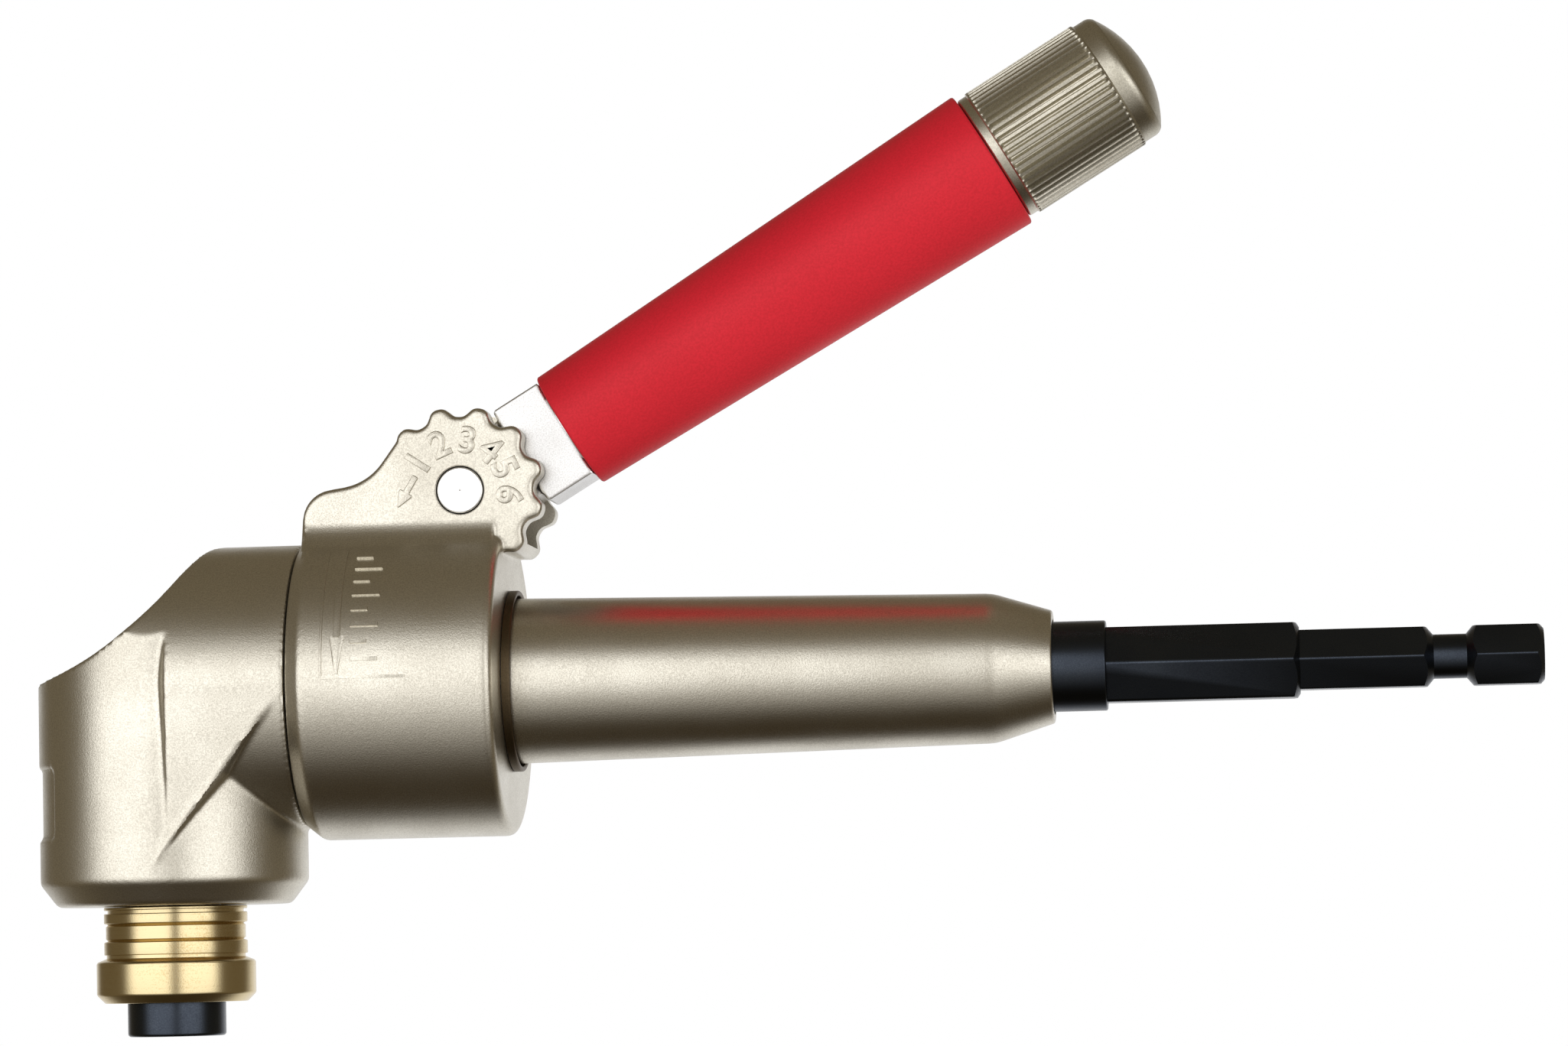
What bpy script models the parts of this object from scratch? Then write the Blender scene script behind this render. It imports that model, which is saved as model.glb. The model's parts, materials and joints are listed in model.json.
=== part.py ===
"""Right angle attachment: a cast elbow head with a pair of bevel gears, a barrel with a hex drive
shank, a quick release output spindle, and a turning collar that carries a folding lever handle.

Metres, +Z up. +X runs along the drive shaft towards the shank, and the origin is the centre of the
shank's end face. Every piece is drawn about the gear centre, where the two shaft axes cross, and
hangs on one empty that stands there.
"""

import math

import bmesh
import bpy
from mathutils import Matrix, Vector

MM = 0.001
GAP = 0.3 * MM                     # between pieces that touch or run together
WELD = 0.001 * MM                  # points closer than this are one point
OVERLAP = 0.05 * MM                # joined shapes run this far into each other
ROUND = 28                         # facets of a turned piece
SMALL_ROUND = 24                   # facets of a ring or a hole
FINE = 48                          # facets of the large housings
SHAFT_FACETS = 24                  # facets of a shaft with hexagons, a multiple of 12
ARC_STEPS = 3                      # straight pieces of a small fillet

# Bevel gears, two alike, cone angle 45 degrees
TEETH = 16
MODULE = 1.25 * MM
PRESSURE_ANGLE = math.radians(20)
BACKLASH = 0.30 * MM
GEAR_FACE = 4.2 * MM               # tooth length along the cone
GEAR_HUB_LENGTH = 4.0 * MM         # from the pitch circle to the hub's back
GEAR_HUB_RADIUS = 7.2 * MM
ROOT_DEPTH = 1.25                  # dedendum in modules
CONE_ANGLE = math.radians(45)

# Shafts in the head
SEAT_RADIUS = 3.6 * MM             # both shafts where a gear sits
DRIVE_JOURNAL = 4.6 * MM
OUTPUT_JOURNAL = 4.9 * MM
BUSHING_WALL = 2.2 * MM
BUSHING_FLANGE = 1.0 * MM          # thickness
FLANGE_STEP = 1.7 * MM             # flange radius over bushing radius
WASHER = 0.6 * MM

# Head casting
CHAMBER_CLEARANCE = 0.8 * MM       # chamber wall to gear tips
HEAD_WALL = 3.7 * MM
NOSE_STEP = 0.9 * MM               # upright cylinder is this much smaller in radius
HEAD_REACH = 15.0 * MM             # gear centre to the shoulder under the collar
NECK_WALL = 1.2 * MM
NECK_LENGTH = 5.0 * MM
OUTPUT_BORE_LENGTH = 6.9 * MM
FOOT_CHAMFER = (1.9 * MM, 2.7 * MM)     # inwards, upwards
FOOT_ROUND = 0.9 * MM
SCOOP_TOP = 5.3 * MM               # where the sloped back meets the top, from the gear centre
SCOOP_SLOPE = math.radians(56)
SCOOP_STRAIGHT = 5.2 * MM          # length of the straight slope
SCOOP_END_SLOPE = math.radians(7)
SCOOP_RADIUS = 24 * MM
SCOOP_TOP_ROUND = 2.4 * MM
NOSE_ROUND = 1.3 * MM              # over the nose, where the hollow runs out
CHEEK_LEFT = 2.0 * MM              # crease at the front edge of the side cheek
CHEEK_SOFTNESS = 0.6 * MM
CHEEK_FADE = 5.0 * MM              # the crease runs out flat over this width at its foot
CHEEK_FOOT = 4.0 * MM              # height of the crease's end over the ridge's foot
CHEEK_DRAFT = math.radians(3.4)
CHEEK_STEP = 0.02 * MM             # the flat stands this proud of the round at axis level
RIDGE_TOP = (14.2 * MM, -1.7 * MM)
RIDGE_FOOT = (0.3 * MM, -19.4 * MM)
RIDGE_DRAFT = 1.7 * MM
RIDGE_RUNOUT = 0.06 * MM           # what is left of the ridge at its foot
PANEL_TOP = -8.3 * MM
PANEL_HEIGHT = 7.9 * MM
PANEL_HALF_WIDTH = 9.1 * MM
PANEL_DEPTH = 0.35 * MM

# Barrel and collar
COLLAR_WALL = 3.7 * MM
COLLAR_LENGTH = 22.9 * MM
COLLAR_END_WALL = 2.3 * MM
COLLAR_CHAMFER = (1.6 * MM, 1.3 * MM)   # along, inwards
COLLAR_ROUND = 1.0 * MM
TUBE_RADIUS = 8.95 * MM
TUBE_END_RADIUS = 8.05 * MM
TUBE_REACH = 51.4 * MM             # collar to the nose taper
TUBE_BORE = 6.4 * MM
TUBE_ROUND = 4 * MM                # where the nose taper starts
NOSE_TAPER = 6.4 * MM
NOSE_RADIUS = 6.05 * MM
RING_REACH = 1.1 * MM              # of the retaining ring, over the tube
RING_LENGTH = 1.1 * MM
DOWEL_RADIUS = 1.2 * MM

# Drive shank
SHAFT_RADIUS = 4.85 * MM
SHAFT_WAIST = 4.3 * MM
FRONT_BUSHING_LENGTH = 8.6 * MM
FRONT_SEAT_DEPTH = 6.6 * MM        # bushing's front end behind the tip of the nose
ROUND_SHANK_LENGTH = 5.7 * MM
LARGE_HEX = 8.0 * MM               # across flats
LARGE_HEX_LENGTH = 20.6 * MM
SMALL_HEX = 6.35 * MM
SMALL_HEX_LENGTH = 13.1 * MM
GROOVE_NECK = 2.375 * MM           # radius
GROOVE_SLOPE = 1.0 * MM
GROOVE_LENGTH = 5.7 * MM
TIP_LENGTH = 7.1 * MM
HEX_CHAMFER = 0.6 * MM
CLIP_THICKNESS = 0.7 * MM
CLIP_HEIGHT = 1.1 * MM             # a clip stands this far out of its groove's shaft

# Output spindle and release sleeve, sizes down from the head's foot
SPINDLE_RADIUS = 5.3 * MM
SPINDLE_REACH = 14.1 * MM
SOCKET_FLATS = 6.5 * MM
SOCKET_DEPTH = 19.9 * MM
SLEEVE_LENGTH = 10.2 * MM
SLEEVE_TOP_RADIUS = 7.75 * MM
SLEEVE_WAIST_RADIUS = 7.55 * MM
SLEEVE_BAND_RADIUS = 8.6 * MM
SLEEVE_BAND_TOP = 6.1 * MM
SLEEVE_FLARE = 0.8 * MM
SLEEVE_LIP = 0.6 * MM
SLEEVE_TRAVEL = 2.0 * MM
BALL_RADIUS = 1.25 * MM
BALL_TRAVEL = 1.0 * MM
BALL_DEPTH = 4.2 * MM              # below the head's foot
BALL_BITE = 0.55 * MM              # stands this far into the socket
LAND_LENGTH = 0.8 * MM
SPRING_WALL = 1.3 * MM             # of the sleeve beside the spring
SPRING_WIRE = 0.3 * MM             # radius
SPRING_TURNS = 2.5
SEAT_WASHER = 0.5 * MM

# Ears, pin, cam and shoe
PIN_INSET = 5.2 * MM               # behind the collar's open end
PIN_HEIGHT = 3.5 * MM              # over the collar's outside
PIN_RADIUS = 2.4 * MM
LEVER_FLATS = 7.5 * MM
EAR_THICKNESS = 2.9 * MM
EAR_CHAMFER = 0.6 * MM
LOBE_RADIUS = 9.1 * MM
LOBE_DEPTH = 1.2 * MM
LOBE_PITCH = 30                    # degrees
LOBE_FIRST = 141                   # degrees, where the scallops start and end
LOBE_LAST = -62
TAB_HEIGHT = 4.6 * MM              # of the tab over the collar's outside
TAB_FALL = 1.05 * MM               # the tab's top is this much lower at its front
TAB_LEAN = 0.6 * MM                # the tab's front leans back this much
TAB_ROUND = 3.4 * MM
TAB_SLOPE = math.radians(54)       # from the tab up to the first scallop
TAB_EASE = 1.15                    # fillet under that slope, in lengths of the slope
TAB_LENGTH = 7.3 * MM              # solid tab, from the collar's shoulder to the slot
EAR_FILLET = 4.5 * MM
SLOT_SKIN = 1.4 * MM               # collar left between the slot's floor and the bore
CAM_RADIUS = 5.0 * MM
CAM_RISE = 0.2 * MM                # per radian
SHOE_LENGTH = 6.2 * MM
SHOE_WIDTH = 6.8 * MM

# Lever handle, sizes from the pin along the handle
HANDLE_ANGLE = math.radians(31)
TANG_SIDE = 0.2 * MM               # tang thinner than the flats, each side
TANG_HALF_HEIGHT = 4.6 * MM
ROOT_RADIUS = 6.7 * MM
ROOT_START = 7.2 * MM
ROOT_LENGTH = 5.5 * MM
ROOT_CHAMFER = 0.4 * MM
GRIP_LENGTH = 54.2 * MM
GRIP_END_RADIUS = 8.05 * MM
GRIP_BORE = 5.6 * MM
GRIP_CHAMFER = 0.4 * MM
SPIGOT_LENGTH = 17 * MM
CAP_LENGTH = 19.2 * MM
CAP_RADIUS = 7.6 * MM              # over the knurl
CAP_NECK = 1.2 * MM
CAP_NECK_DEPTH = 0.1 * MM
CAP_RING = 2.0 * MM
CAP_EDGE = 0.6 * MM                # rounding between the ring and the dome
CAP_DOME = 2.4 * MM                # height of the domed end
CAP_SPIGOT = 7.5 * MM
KNURL_RIDGES = 56
KNURL_DEPTH = 0.45 * MM
SEAL_LENGTH = 1.2 * MM
SEAL_DEPTH = 1.3 * MM

# Worked out from the sizes above, from the gear centre
PITCH_RADIUS = MODULE * TEETH / 2
CONE_LENGTH = PITCH_RADIUS / math.sin(CONE_ANGLE)
GEAR_BACK = PITCH_RADIUS + GEAR_HUB_LENGTH
FLANGE_FACE = GEAR_BACK + GAP + WASHER + GAP
BORE_FACE = FLANGE_FACE + BUSHING_FLANGE + GAP
CHAMBER_RADIUS = PITCH_RADIUS + MODULE * math.cos(CONE_ANGLE) + CHAMBER_CLEARANCE
HEAD_RADIUS = CHAMBER_RADIUS + HEAD_WALL
UPRIGHT_RADIUS = HEAD_RADIUS - NOSE_STEP
FOOT = BORE_FACE + OUTPUT_BORE_LENGTH
NECK_RADIUS = CHAMBER_RADIUS + NECK_WALL
NECK_END = HEAD_REACH + NECK_LENGTH
DRIVE_BUSHING = DRIVE_JOURNAL + GAP + BUSHING_WALL
OUTPUT_BUSHING = OUTPUT_JOURNAL + GAP + BUSHING_WALL
COLLAR_START = HEAD_REACH + GAP
COLLAR_END = COLLAR_START + COLLAR_LENGTH
COLLAR_BORE = NECK_RADIUS + GAP
COLLAR_RADIUS = COLLAR_BORE + COLLAR_WALL
COLLAR_STOP = COLLAR_END - COLLAR_END_WALL
TUBE_END = COLLAR_END + TUBE_REACH
NOSE_END = TUBE_END + NOSE_TAPER
FRONT_SEAT = NOSE_END - FRONT_SEAT_DEPTH
FRONT_BUSHING = FRONT_SEAT - GAP - FRONT_BUSHING_LENGTH
REAR_BORE_END = BORE_FACE + NECK_LENGTH + GAP
ROUND_END = NOSE_END + ROUND_SHANK_LENGTH
LARGE_END = ROUND_END + LARGE_HEX_LENGTH
SMALL_END = LARGE_END + SMALL_HEX_LENGTH
GROOVE_END = SMALL_END + GROOVE_LENGTH
SHANK_END = GROOVE_END + TIP_LENGTH
PIN_X = COLLAR_END - PIN_INSET
PIN_Z = COLLAR_RADIUS + PIN_HEIGHT
SLOT_HALF = LEVER_FLATS / 2 + GAP
EAR_FACE = SLOT_HALF + EAR_THICKNESS
SLOT_START = COLLAR_START + TAB_LENGTH
SLOT_FLOOR = COLLAR_BORE + SLOT_SKIN
SHOE_TOP = PIN_Z - CAM_RADIUS - GAP
SLEEVE_TOP = FOOT + GAP
SLEEVE_FOOT = SLEEVE_TOP + SLEEVE_LENGTH
BALL_LEVEL = FOOT + BALL_DEPTH
BALL_OUT = SOCKET_FLATS / 2 - BALL_BITE + BALL_RADIUS
SPRING_TOP = BALL_LEVEL + LAND_LENGTH
SLEEVE_CLIP = SLEEVE_FOOT - CLIP_THICKNESS
SEAT_LEVEL = SLEEVE_CLIP - GAP - SEAT_WASHER
GRIP_START = ROOT_START + ROOT_LENGTH + GAP
GRIP_END = GRIP_START + GRIP_LENGTH
CAP_START = GRIP_END + GAP
SPIGOT_RADIUS = GRIP_BORE - GAP

ALONG_X = Matrix.Rotation(math.radians(90), 4, "Y")      # a turned piece's axis from +Z to +X
DOWNWARDS = Matrix.Rotation(math.radians(180), 4, "X")   # from +Z to -Z
UPWARDS = Matrix.Identity(4)

COLOURS = {                                              # linear colour, metallic, roughness
    "cast_nickel": ((0.42, 0.38, 0.30), 1.0, 0.42),
    "black_oxide": ((0.012, 0.014, 0.018), 1.0, 0.35),
    "steel": ((0.62, 0.61, 0.58), 1.0, 0.30),
    "brass": ((0.62, 0.44, 0.16), 1.0, 0.25),
    "bronze": ((0.45, 0.27, 0.12), 1.0, 0.45),
    "red_anodised": ((0.55, 0.016, 0.022), 0.2, 0.40),
    "seal_rubber": ((0.02, 0.02, 0.02), 0.0, 0.70),
}


def clear_scene():
    for obj in list(bpy.data.objects):
        bpy.data.objects.remove(obj, do_unlink=True)


def finish_material(slot):
    colour, metallic, roughness = COLOURS[slot]
    material = bpy.data.materials.new(slot)
    material.use_nodes = True
    shader = material.node_tree.nodes["Principled BSDF"]
    shader.inputs["Base Color"].default_value = (*colour, 1)
    shader.inputs["Metallic"].default_value = metallic
    shader.inputs["Roughness"].default_value = roughness
    return material


def add_empty(name, location, tilt=0, parent=None):
    empty = bpy.data.objects.new(name, None)
    empty.location = location
    empty.rotation_euler = (0, tilt, 0)
    empty.parent = parent
    bpy.context.scene.collection.objects.link(empty)
    return empty


def add_object(name, sketch, hub, turn=UPWARDS, slot=None):
    """Make an object of a bmesh sketch, turned from its own +Z, on the empty that it hangs on."""
    bmesh.ops.remove_doubles(sketch, verts=sketch.verts, dist=WELD)
    bmesh.ops.recalc_face_normals(sketch, faces=sketch.faces)
    sketch.transform(turn)
    mesh = bpy.data.meshes.new(name)
    sketch.to_mesh(mesh)
    sketch.free()
    mesh.shade_smooth()
    mesh.set_sharp_from_angle(angle=math.radians(35))
    obj = bpy.data.objects.new(name, mesh)
    obj.parent = hub
    bpy.context.scene.collection.objects.link(obj)
    if slot:
        mesh.materials.append(MATERIALS[slot])
    else:
        obj.hide_render = True
        obj.display_type = "WIRE"
    return obj


def combine(obj, tool, operation):
    """Add, cut or keep the common part of a hidden tool, on an object."""
    modifier = obj.modifiers.new(tool.name, "BOOLEAN")
    modifier.operation = operation
    modifier.solver = "EXACT"
    modifier.object = tool


def rounded(corners):
    """Closed outline through corners (u, v) or (u, v, fillet radius), each fillet an arc."""
    outline = []
    for index, (u, v, *fillet) in enumerate(corners):
        here = Vector((u, v))
        if not fillet:
            outline.append(here)
            continue
        before = (Vector(corners[index - 1][:2]) - here).normalized()
        after = (Vector(corners[(index + 1) % len(corners)][:2]) - here).normalized()
        half = before.angle(after) / 2
        centre = here + (before + after).normalized() * (fillet[0] / math.sin(half))
        reach = fillet[0] / math.tan(half)
        start = here + before * reach - centre
        end = here + after * reach - centre
        turn = math.remainder(math.atan2(end.y, end.x) - math.atan2(start.y, start.x), 2 * math.pi)
        for step in range(ARC_STEPS + 1):
            outline.append(centre + Matrix.Rotation(turn * step / ARC_STEPS, 2) @ start)
    return outline


def turned(corners, facets=ROUND):
    """Spin a closed outline of (along, radius) corners about +Z. Corners may lie on the axis."""
    sketch = bmesh.new()
    outline = rounded([(along, radius, *fillet) for along, radius, *fillet in corners])
    verts = [sketch.verts.new((point.y, 0, point.x)) for point in outline]
    edges = [sketch.edges.new((verts[i - 1], verts[i])) for i in range(len(verts))]
    on_axis = [edge for edge in edges if all(vert.co.x < WELD for vert in edge.verts)]
    spun = [edge for edge in edges if edge not in on_axis]
    bmesh.ops.spin(sketch, geom=verts + spun, axis=(0, 0, 1), angle=2 * math.pi,
                   steps=facets, use_merge=True)
    bmesh.ops.remove_doubles(sketch, verts=sketch.verts, dist=WELD)
    loose = [edge for edge in sketch.edges if not edge.link_faces]
    bmesh.ops.delete(sketch, geom=loose, context="EDGES")
    return sketch


def prism(outline, low, high, inset=0):
    """Extrude an outline from low to high along +Z, with chamfered rims if an inset is given."""
    levels = [(low, 0), (high, 0)]
    if inset:
        levels = [(low, inset), (low + inset, 0), (high - inset, 0), (high, inset)]
    return skinned([[(p.x, p.y, level) for p in offset(outline, -shrink)] for level, shrink in levels])


def skinned(loops, closed=False):
    """Skin a row of point loops of one length with quads, capped at both ends or closed to a ring."""
    sketch = bmesh.new()
    rows = [[sketch.verts.new(point) for point in loop] for loop in loops]
    if closed:
        rows.append(rows[0])
    else:
        sketch.faces.new(rows[0])
        sketch.faces.new(rows[-1])
    for first, second in zip(rows, rows[1:]):
        for i in range(len(first)):
            sketch.faces.new((first[i - 1], first[i], second[i], second[i - 1]))
    return sketch


def offset(outline, distance):
    """Move a closed outline's points along their mitred normals, outwards if distance is positive."""
    points = [Vector(point) for point in outline]
    area = sum(points[i - 1].cross(points[i]) for i in range(len(points)))
    side = math.copysign(1, area)
    moved = []
    for index, here in enumerate(points):
        before = (here - points[index - 1]).normalized()
        after = (points[(index + 1) % len(points)] - here).normalized()
        normal = Vector((before.y + after.y, -before.x - after.x)).normalized() * side
        lean = normal.dot(Vector((after.y, -after.x)) * side)
        moved.append(here + normal * (distance / lean))
    return moved


def arc(radius, start, end, steps):
    """Points on a circle about the origin, angles in degrees."""
    return [Vector((radius * math.cos(math.radians(angle)), radius * math.sin(math.radians(angle))))
            for angle in (start + (end - start) * step / steps for step in range(steps + 1))]


def lofted(sections, azimuths, closed=False):
    """Skin a row of cross sections about +Z. Each is a function from azimuth to (radius, along)."""
    loops = []
    for section in sections:
        polar = [(azimuth, *section(azimuth)) for azimuth in azimuths]
        loops.append([(r * math.cos(azimuth), r * math.sin(azimuth), along) for azimuth, r, along in polar])
    return skinned(loops, closed)


def circle(along, radius):
    return lambda azimuth: (radius, along)


def hexagon(along, flats, corner_limit=1.0):
    """Hexagon with flats across the azimuths 0, 60 and so on, its corners cut to a circle."""
    def section(azimuth):
        lean = math.remainder(azimuth, math.pi / 3)
        return min(flats / 2 / math.cos(lean), corner_limit), along
    return section


def even_azimuths(count):
    return [2 * math.pi * index / count for index in range(count)]


def tooth_half_angle(height):
    """Half of a tooth's width, as an azimuth, at a height over the pitch cone on the back cone."""
    back_radius = PITCH_RADIUS / math.cos(CONE_ANGLE)
    base_radius = back_radius * math.cos(PRESSURE_ANGLE)

    def involute(radius):
        angle = math.acos(min(1, base_radius / radius))
        return math.tan(angle) - angle

    thickness = math.pi * MODULE / 2 - BACKLASH / 2
    half = thickness / (2 * back_radius) + involute(back_radius)
    widening = 0.02 * max(0, base_radius - back_radius - height) / MODULE
    return (half - involute(max(base_radius, back_radius + height)) + widening) / math.cos(CONE_ANGLE)


def bevel_gear(tooth_at_contact):
    """Straight bevel gear about +Z. Its teeth run on lines through the gear centre."""
    pitch = 2 * math.pi / TEETH
    flank = [-ROOT_DEPTH, -0.5, 0.3, 1.0]
    rises = [(-tooth_half_angle(h * MODULE), h * MODULE) for h in flank]
    profile = rises + [(-angle, height) for angle, height in reversed(rises)]
    start = 0 if tooth_at_contact else pitch / 2
    heights = {}
    for tooth in range(TEETH):
        for angle, height in profile:
            heights[start + tooth * pitch + angle] = height
    azimuths = sorted(heights)

    def teeth(cone_length):
        def section(azimuth):
            cone = CONE_ANGLE + math.atan(heights[azimuth] / CONE_LENGTH)
            return cone_length * math.sin(cone), cone_length * math.cos(cone)
        return section

    toe = CONE_LENGTH - GEAR_FACE
    root = CONE_ANGLE - math.atan((ROOT_DEPTH + 0.1) * MODULE / CONE_LENGTH)
    bore = SEAT_RADIUS + GAP
    sections = [circle(toe * math.cos(root), bore), circle(toe * math.cos(root), toe * math.sin(root)),
                teeth(toe), teeth(CONE_LENGTH), circle(CONE_LENGTH * math.cos(root) + GAP, GEAR_HUB_RADIUS),
                circle(GEAR_BACK, GEAR_HUB_RADIUS), circle(GEAR_BACK, bore)]
    return lofted(sections, azimuths, closed=True)


def ring(start, end, inner, outer, facets=SMALL_ROUND):
    return turned([(start, inner), (end, inner), (end, outer), (start, outer)], facets)


def scoop_outline():
    """Outline in X and Z of what is cut off the head's back: a slope that runs out in a hollow."""
    top = Vector((SCOOP_TOP, HEAD_RADIUS + OVERLAP))
    slope = Vector((-math.cos(SCOOP_SLOPE), -math.sin(SCOOP_SLOPE)))
    foot = top + slope * SCOOP_STRAIGHT
    centre = foot + Vector((-math.sin(SCOOP_SLOPE), math.cos(SCOOP_SLOPE))) * SCOOP_RADIUS
    steps = 10
    hollow = []
    for step in range(1, steps + 1):
        angle = SCOOP_SLOPE + (SCOOP_END_SLOPE - SCOOP_SLOPE) * step / steps
        hollow.append(centre + Vector((math.sin(angle), -math.cos(angle))) * SCOOP_RADIUS)
    clear = 2 * HEAD_RADIUS
    edge = -UPRIGHT_RADIUS - OVERLAP
    nose = hollow[-1].y - (hollow[-1].x - edge) * math.tan(SCOOP_END_SLOPE)
    return rounded([(top.x + clear, top.y), (*top, SCOOP_TOP_ROUND), foot, *hollow, (edge, nose, NOSE_ROUND),
                    (edge, nose - 2 * NOSE_ROUND), (-clear, nose - 2 * NOSE_ROUND), (-clear, clear),
                    (top.x + clear, clear)])


def cheek():
    """Half of the side flats: a slab between the ridge and the crease, with draft all round."""
    top = HEAD_RADIUS + CHEEK_STEP
    inner_depth = HEAD_RADIUS / 2
    lean = Vector((RIDGE_TOP[1] - RIDGE_FOOT[1], RIDGE_FOOT[0] - RIDGE_TOP[0])).normalized() * RIDGE_DRAFT
    left = CHEEK_LEFT + CHEEK_SOFTNESS
    crease_foot = RIDGE_FOOT[1] + CHEEK_FOOT
    outer = [(left, 0), (HEAD_REACH, 0), (HEAD_REACH, RIDGE_TOP[1]), RIDGE_TOP, RIDGE_FOOT,
             (left, crease_foot)]
    drafted = [(x, top + z * math.tan(CHEEK_DRAFT), z) for x, z in outer]
    drafted[4] = (RIDGE_FOOT[0], UPRIGHT_RADIUS + RIDGE_RUNOUT, RIDGE_FOOT[1])
    spread = inner_depth - CHEEK_SOFTNESS
    inner = [(left - spread, MM), (HEAD_REACH, MM), (HEAD_REACH, RIDGE_TOP[1] + lean.y),
             (RIDGE_TOP[0] + lean.x, RIDGE_TOP[1] + lean.y), (RIDGE_FOOT[0] + lean.x, RIDGE_FOOT[1] + lean.y),
             (left - spread - CHEEK_FADE, crease_foot)]
    return skinned([[(x, inner_depth, z) for x, z in inner], drafted])


def make_gear_head(hub):
    """Upright cylinder under a level one, the back sloped off, the sides flatted, hollow for gears."""
    upright = [(-HEAD_RADIUS - MM, 0), (-HEAD_RADIUS - MM, UPRIGHT_RADIUS),
               (FOOT - FOOT_CHAMFER[1], UPRIGHT_RADIUS, FOOT_ROUND),
               (FOOT, UPRIGHT_RADIUS - FOOT_CHAMFER[0], FOOT_ROUND), (FOOT, 0)]
    head = add_object("gear_head", turned(upright, FINE), hub, DOWNWARDS, "cast_nickel")

    wide = HEAD_RADIUS + 2 * MM
    vault = [Vector((2 * FOOT, -wide)), Vector((2 * FOOT, wide)), Vector((0, wide)),
             *[Vector((-p.x, p.y)) for p in arc(HEAD_RADIUS, 90, -90, FINE // 2)], Vector((0, -wide))]
    combine(head, add_object("head_vault_tool", prism(vault, -wide, wide), hub, ALONG_X), "INTERSECT")

    soft = CHEEK_SOFTNESS
    level = [(CHEEK_LEFT - soft, 0), (CHEEK_LEFT - soft, HEAD_RADIUS - 2 * soft),
             (CHEEK_LEFT + soft, HEAD_RADIUS), (HEAD_REACH, HEAD_RADIUS), (HEAD_REACH, NECK_RADIUS),
             (NECK_END, NECK_RADIUS), (NECK_END, 0)]
    combine(head, add_object("head_level_tool", turned(level, FINE), hub, ALONG_X), "UNION")
    for side in (1, -1):
        flat = cheek()
        if side < 0:
            flat.transform(Matrix.Scale(-1, 4, (0, 1, 0)))
        combine(head, add_object(f"cheek_tool_{side}", flat, hub), "UNION")

    on_side = Matrix.Rotation(math.radians(90), 4, "X")
    scoop = prism(scoop_outline(), -wide, wide)
    combine(head, add_object("scoop_tool", scoop, hub, on_side), "DIFFERENCE")

    middle = -PANEL_TOP + PANEL_HEIGHT / 2
    half_height = PANEL_HEIGHT / 2
    panel = rounded([(middle + down * half_height, side * PANEL_HALF_WIDTH, MM)
                     for down, side in ((-1, -1), (-1, 1), (1, 1), (1, -1))])
    plug = add_object("panel_tool", prism(panel, -wide, -GEAR_HUB_RADIUS), hub, ALONG_X)
    core = ring(0, FOOT, 0, UPRIGHT_RADIUS - PANEL_DEPTH, FINE)
    combine(plug, add_object("panel_core_tool", core, hub, DOWNWARDS), "DIFFERENCE")
    combine(head, plug, "DIFFERENCE")

    toe = (CONE_LENGTH - GEAR_FACE) * math.cos(CONE_ANGLE + MODULE / CONE_LENGTH) - 2 * CHAMBER_CLEARANCE
    chambers = {
        "drive_chamber_tool": ([(toe, 0), (toe, CHAMBER_RADIUS, MM), (NECK_END + MM, CHAMBER_RADIUS),
                                (NECK_END + MM, 0)], ALONG_X),
        "output_chamber_tool": ([(toe, 0), (toe, CHAMBER_RADIUS, MM), (BORE_FACE, CHAMBER_RADIUS),
                                 (BORE_FACE, OUTPUT_BUSHING + GAP), (FOOT + MM, OUTPUT_BUSHING + GAP),
                                 (FOOT + MM, 0)], DOWNWARDS),
    }
    for name, (outline, turn) in chambers.items():
        combine(head, add_object(name, turned(outline), hub, turn), "DIFFERENCE")
    combine(head, dowel_hole("head_dowel_tool", hub), "DIFFERENCE")


def dowel_hole(name, hub):
    hole = ring(DRIVE_BUSHING, NECK_RADIUS + GAP / 2, 0, DOWEL_RADIUS + GAP, 16)
    hole.transform(Matrix.Translation((NECK_END - NECK_LENGTH / 3, 0, 0)))
    return add_object(name, hole, hub)


def make_barrel(hub):
    """Spigot in the head, journal under the collar, drafted tube and nose, with the front bushing."""
    seat = DRIVE_BUSHING + GAP
    outline = [(BORE_FACE, seat), (BORE_FACE, CHAMBER_RADIUS - GAP), (NECK_END + GAP, CHAMBER_RADIUS - GAP),
               (NECK_END + GAP, NECK_RADIUS), (COLLAR_STOP - GAP, NECK_RADIUS),
               (COLLAR_STOP - GAP, TUBE_RADIUS), (COLLAR_END, TUBE_RADIUS),
               (TUBE_END, TUBE_END_RADIUS, TUBE_ROUND), (NOSE_END, NOSE_RADIUS, GAP),
               (NOSE_END, SHAFT_RADIUS + GAP), (FRONT_SEAT, SHAFT_RADIUS + GAP), (FRONT_SEAT, TUBE_BORE),
               (REAR_BORE_END, TUBE_BORE), (REAR_BORE_END, seat)]
    barrel = add_object("barrel_tube", turned(outline), hub, ALONG_X, "cast_nickel")
    combine(barrel, dowel_hole("barrel_dowel_tool", hub), "DIFFERENCE")

    dowel = ring(DRIVE_BUSHING + GAP, NECK_RADIUS - GAP / 2, 0, DOWEL_RADIUS, 16)
    dowel.transform(Matrix.Translation((NECK_END - NECK_LENGTH / 3, 0, 0)))
    add_object("barrel_pin", dowel, hub, UPWARDS, "steel")

    bushing = ring(FRONT_BUSHING, FRONT_SEAT - GAP, SHAFT_RADIUS + GAP, TUBE_BORE - GAP)
    add_object("input_bushing_front", bushing, hub, ALONG_X, "bronze")
    start = COLLAR_END + GAP
    guard = ring(start, start + RING_LENGTH, TUBE_RADIUS + GAP, TUBE_RADIUS + RING_REACH)
    add_object("collar_ring", guard, hub, ALONG_X, "steel")


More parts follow.
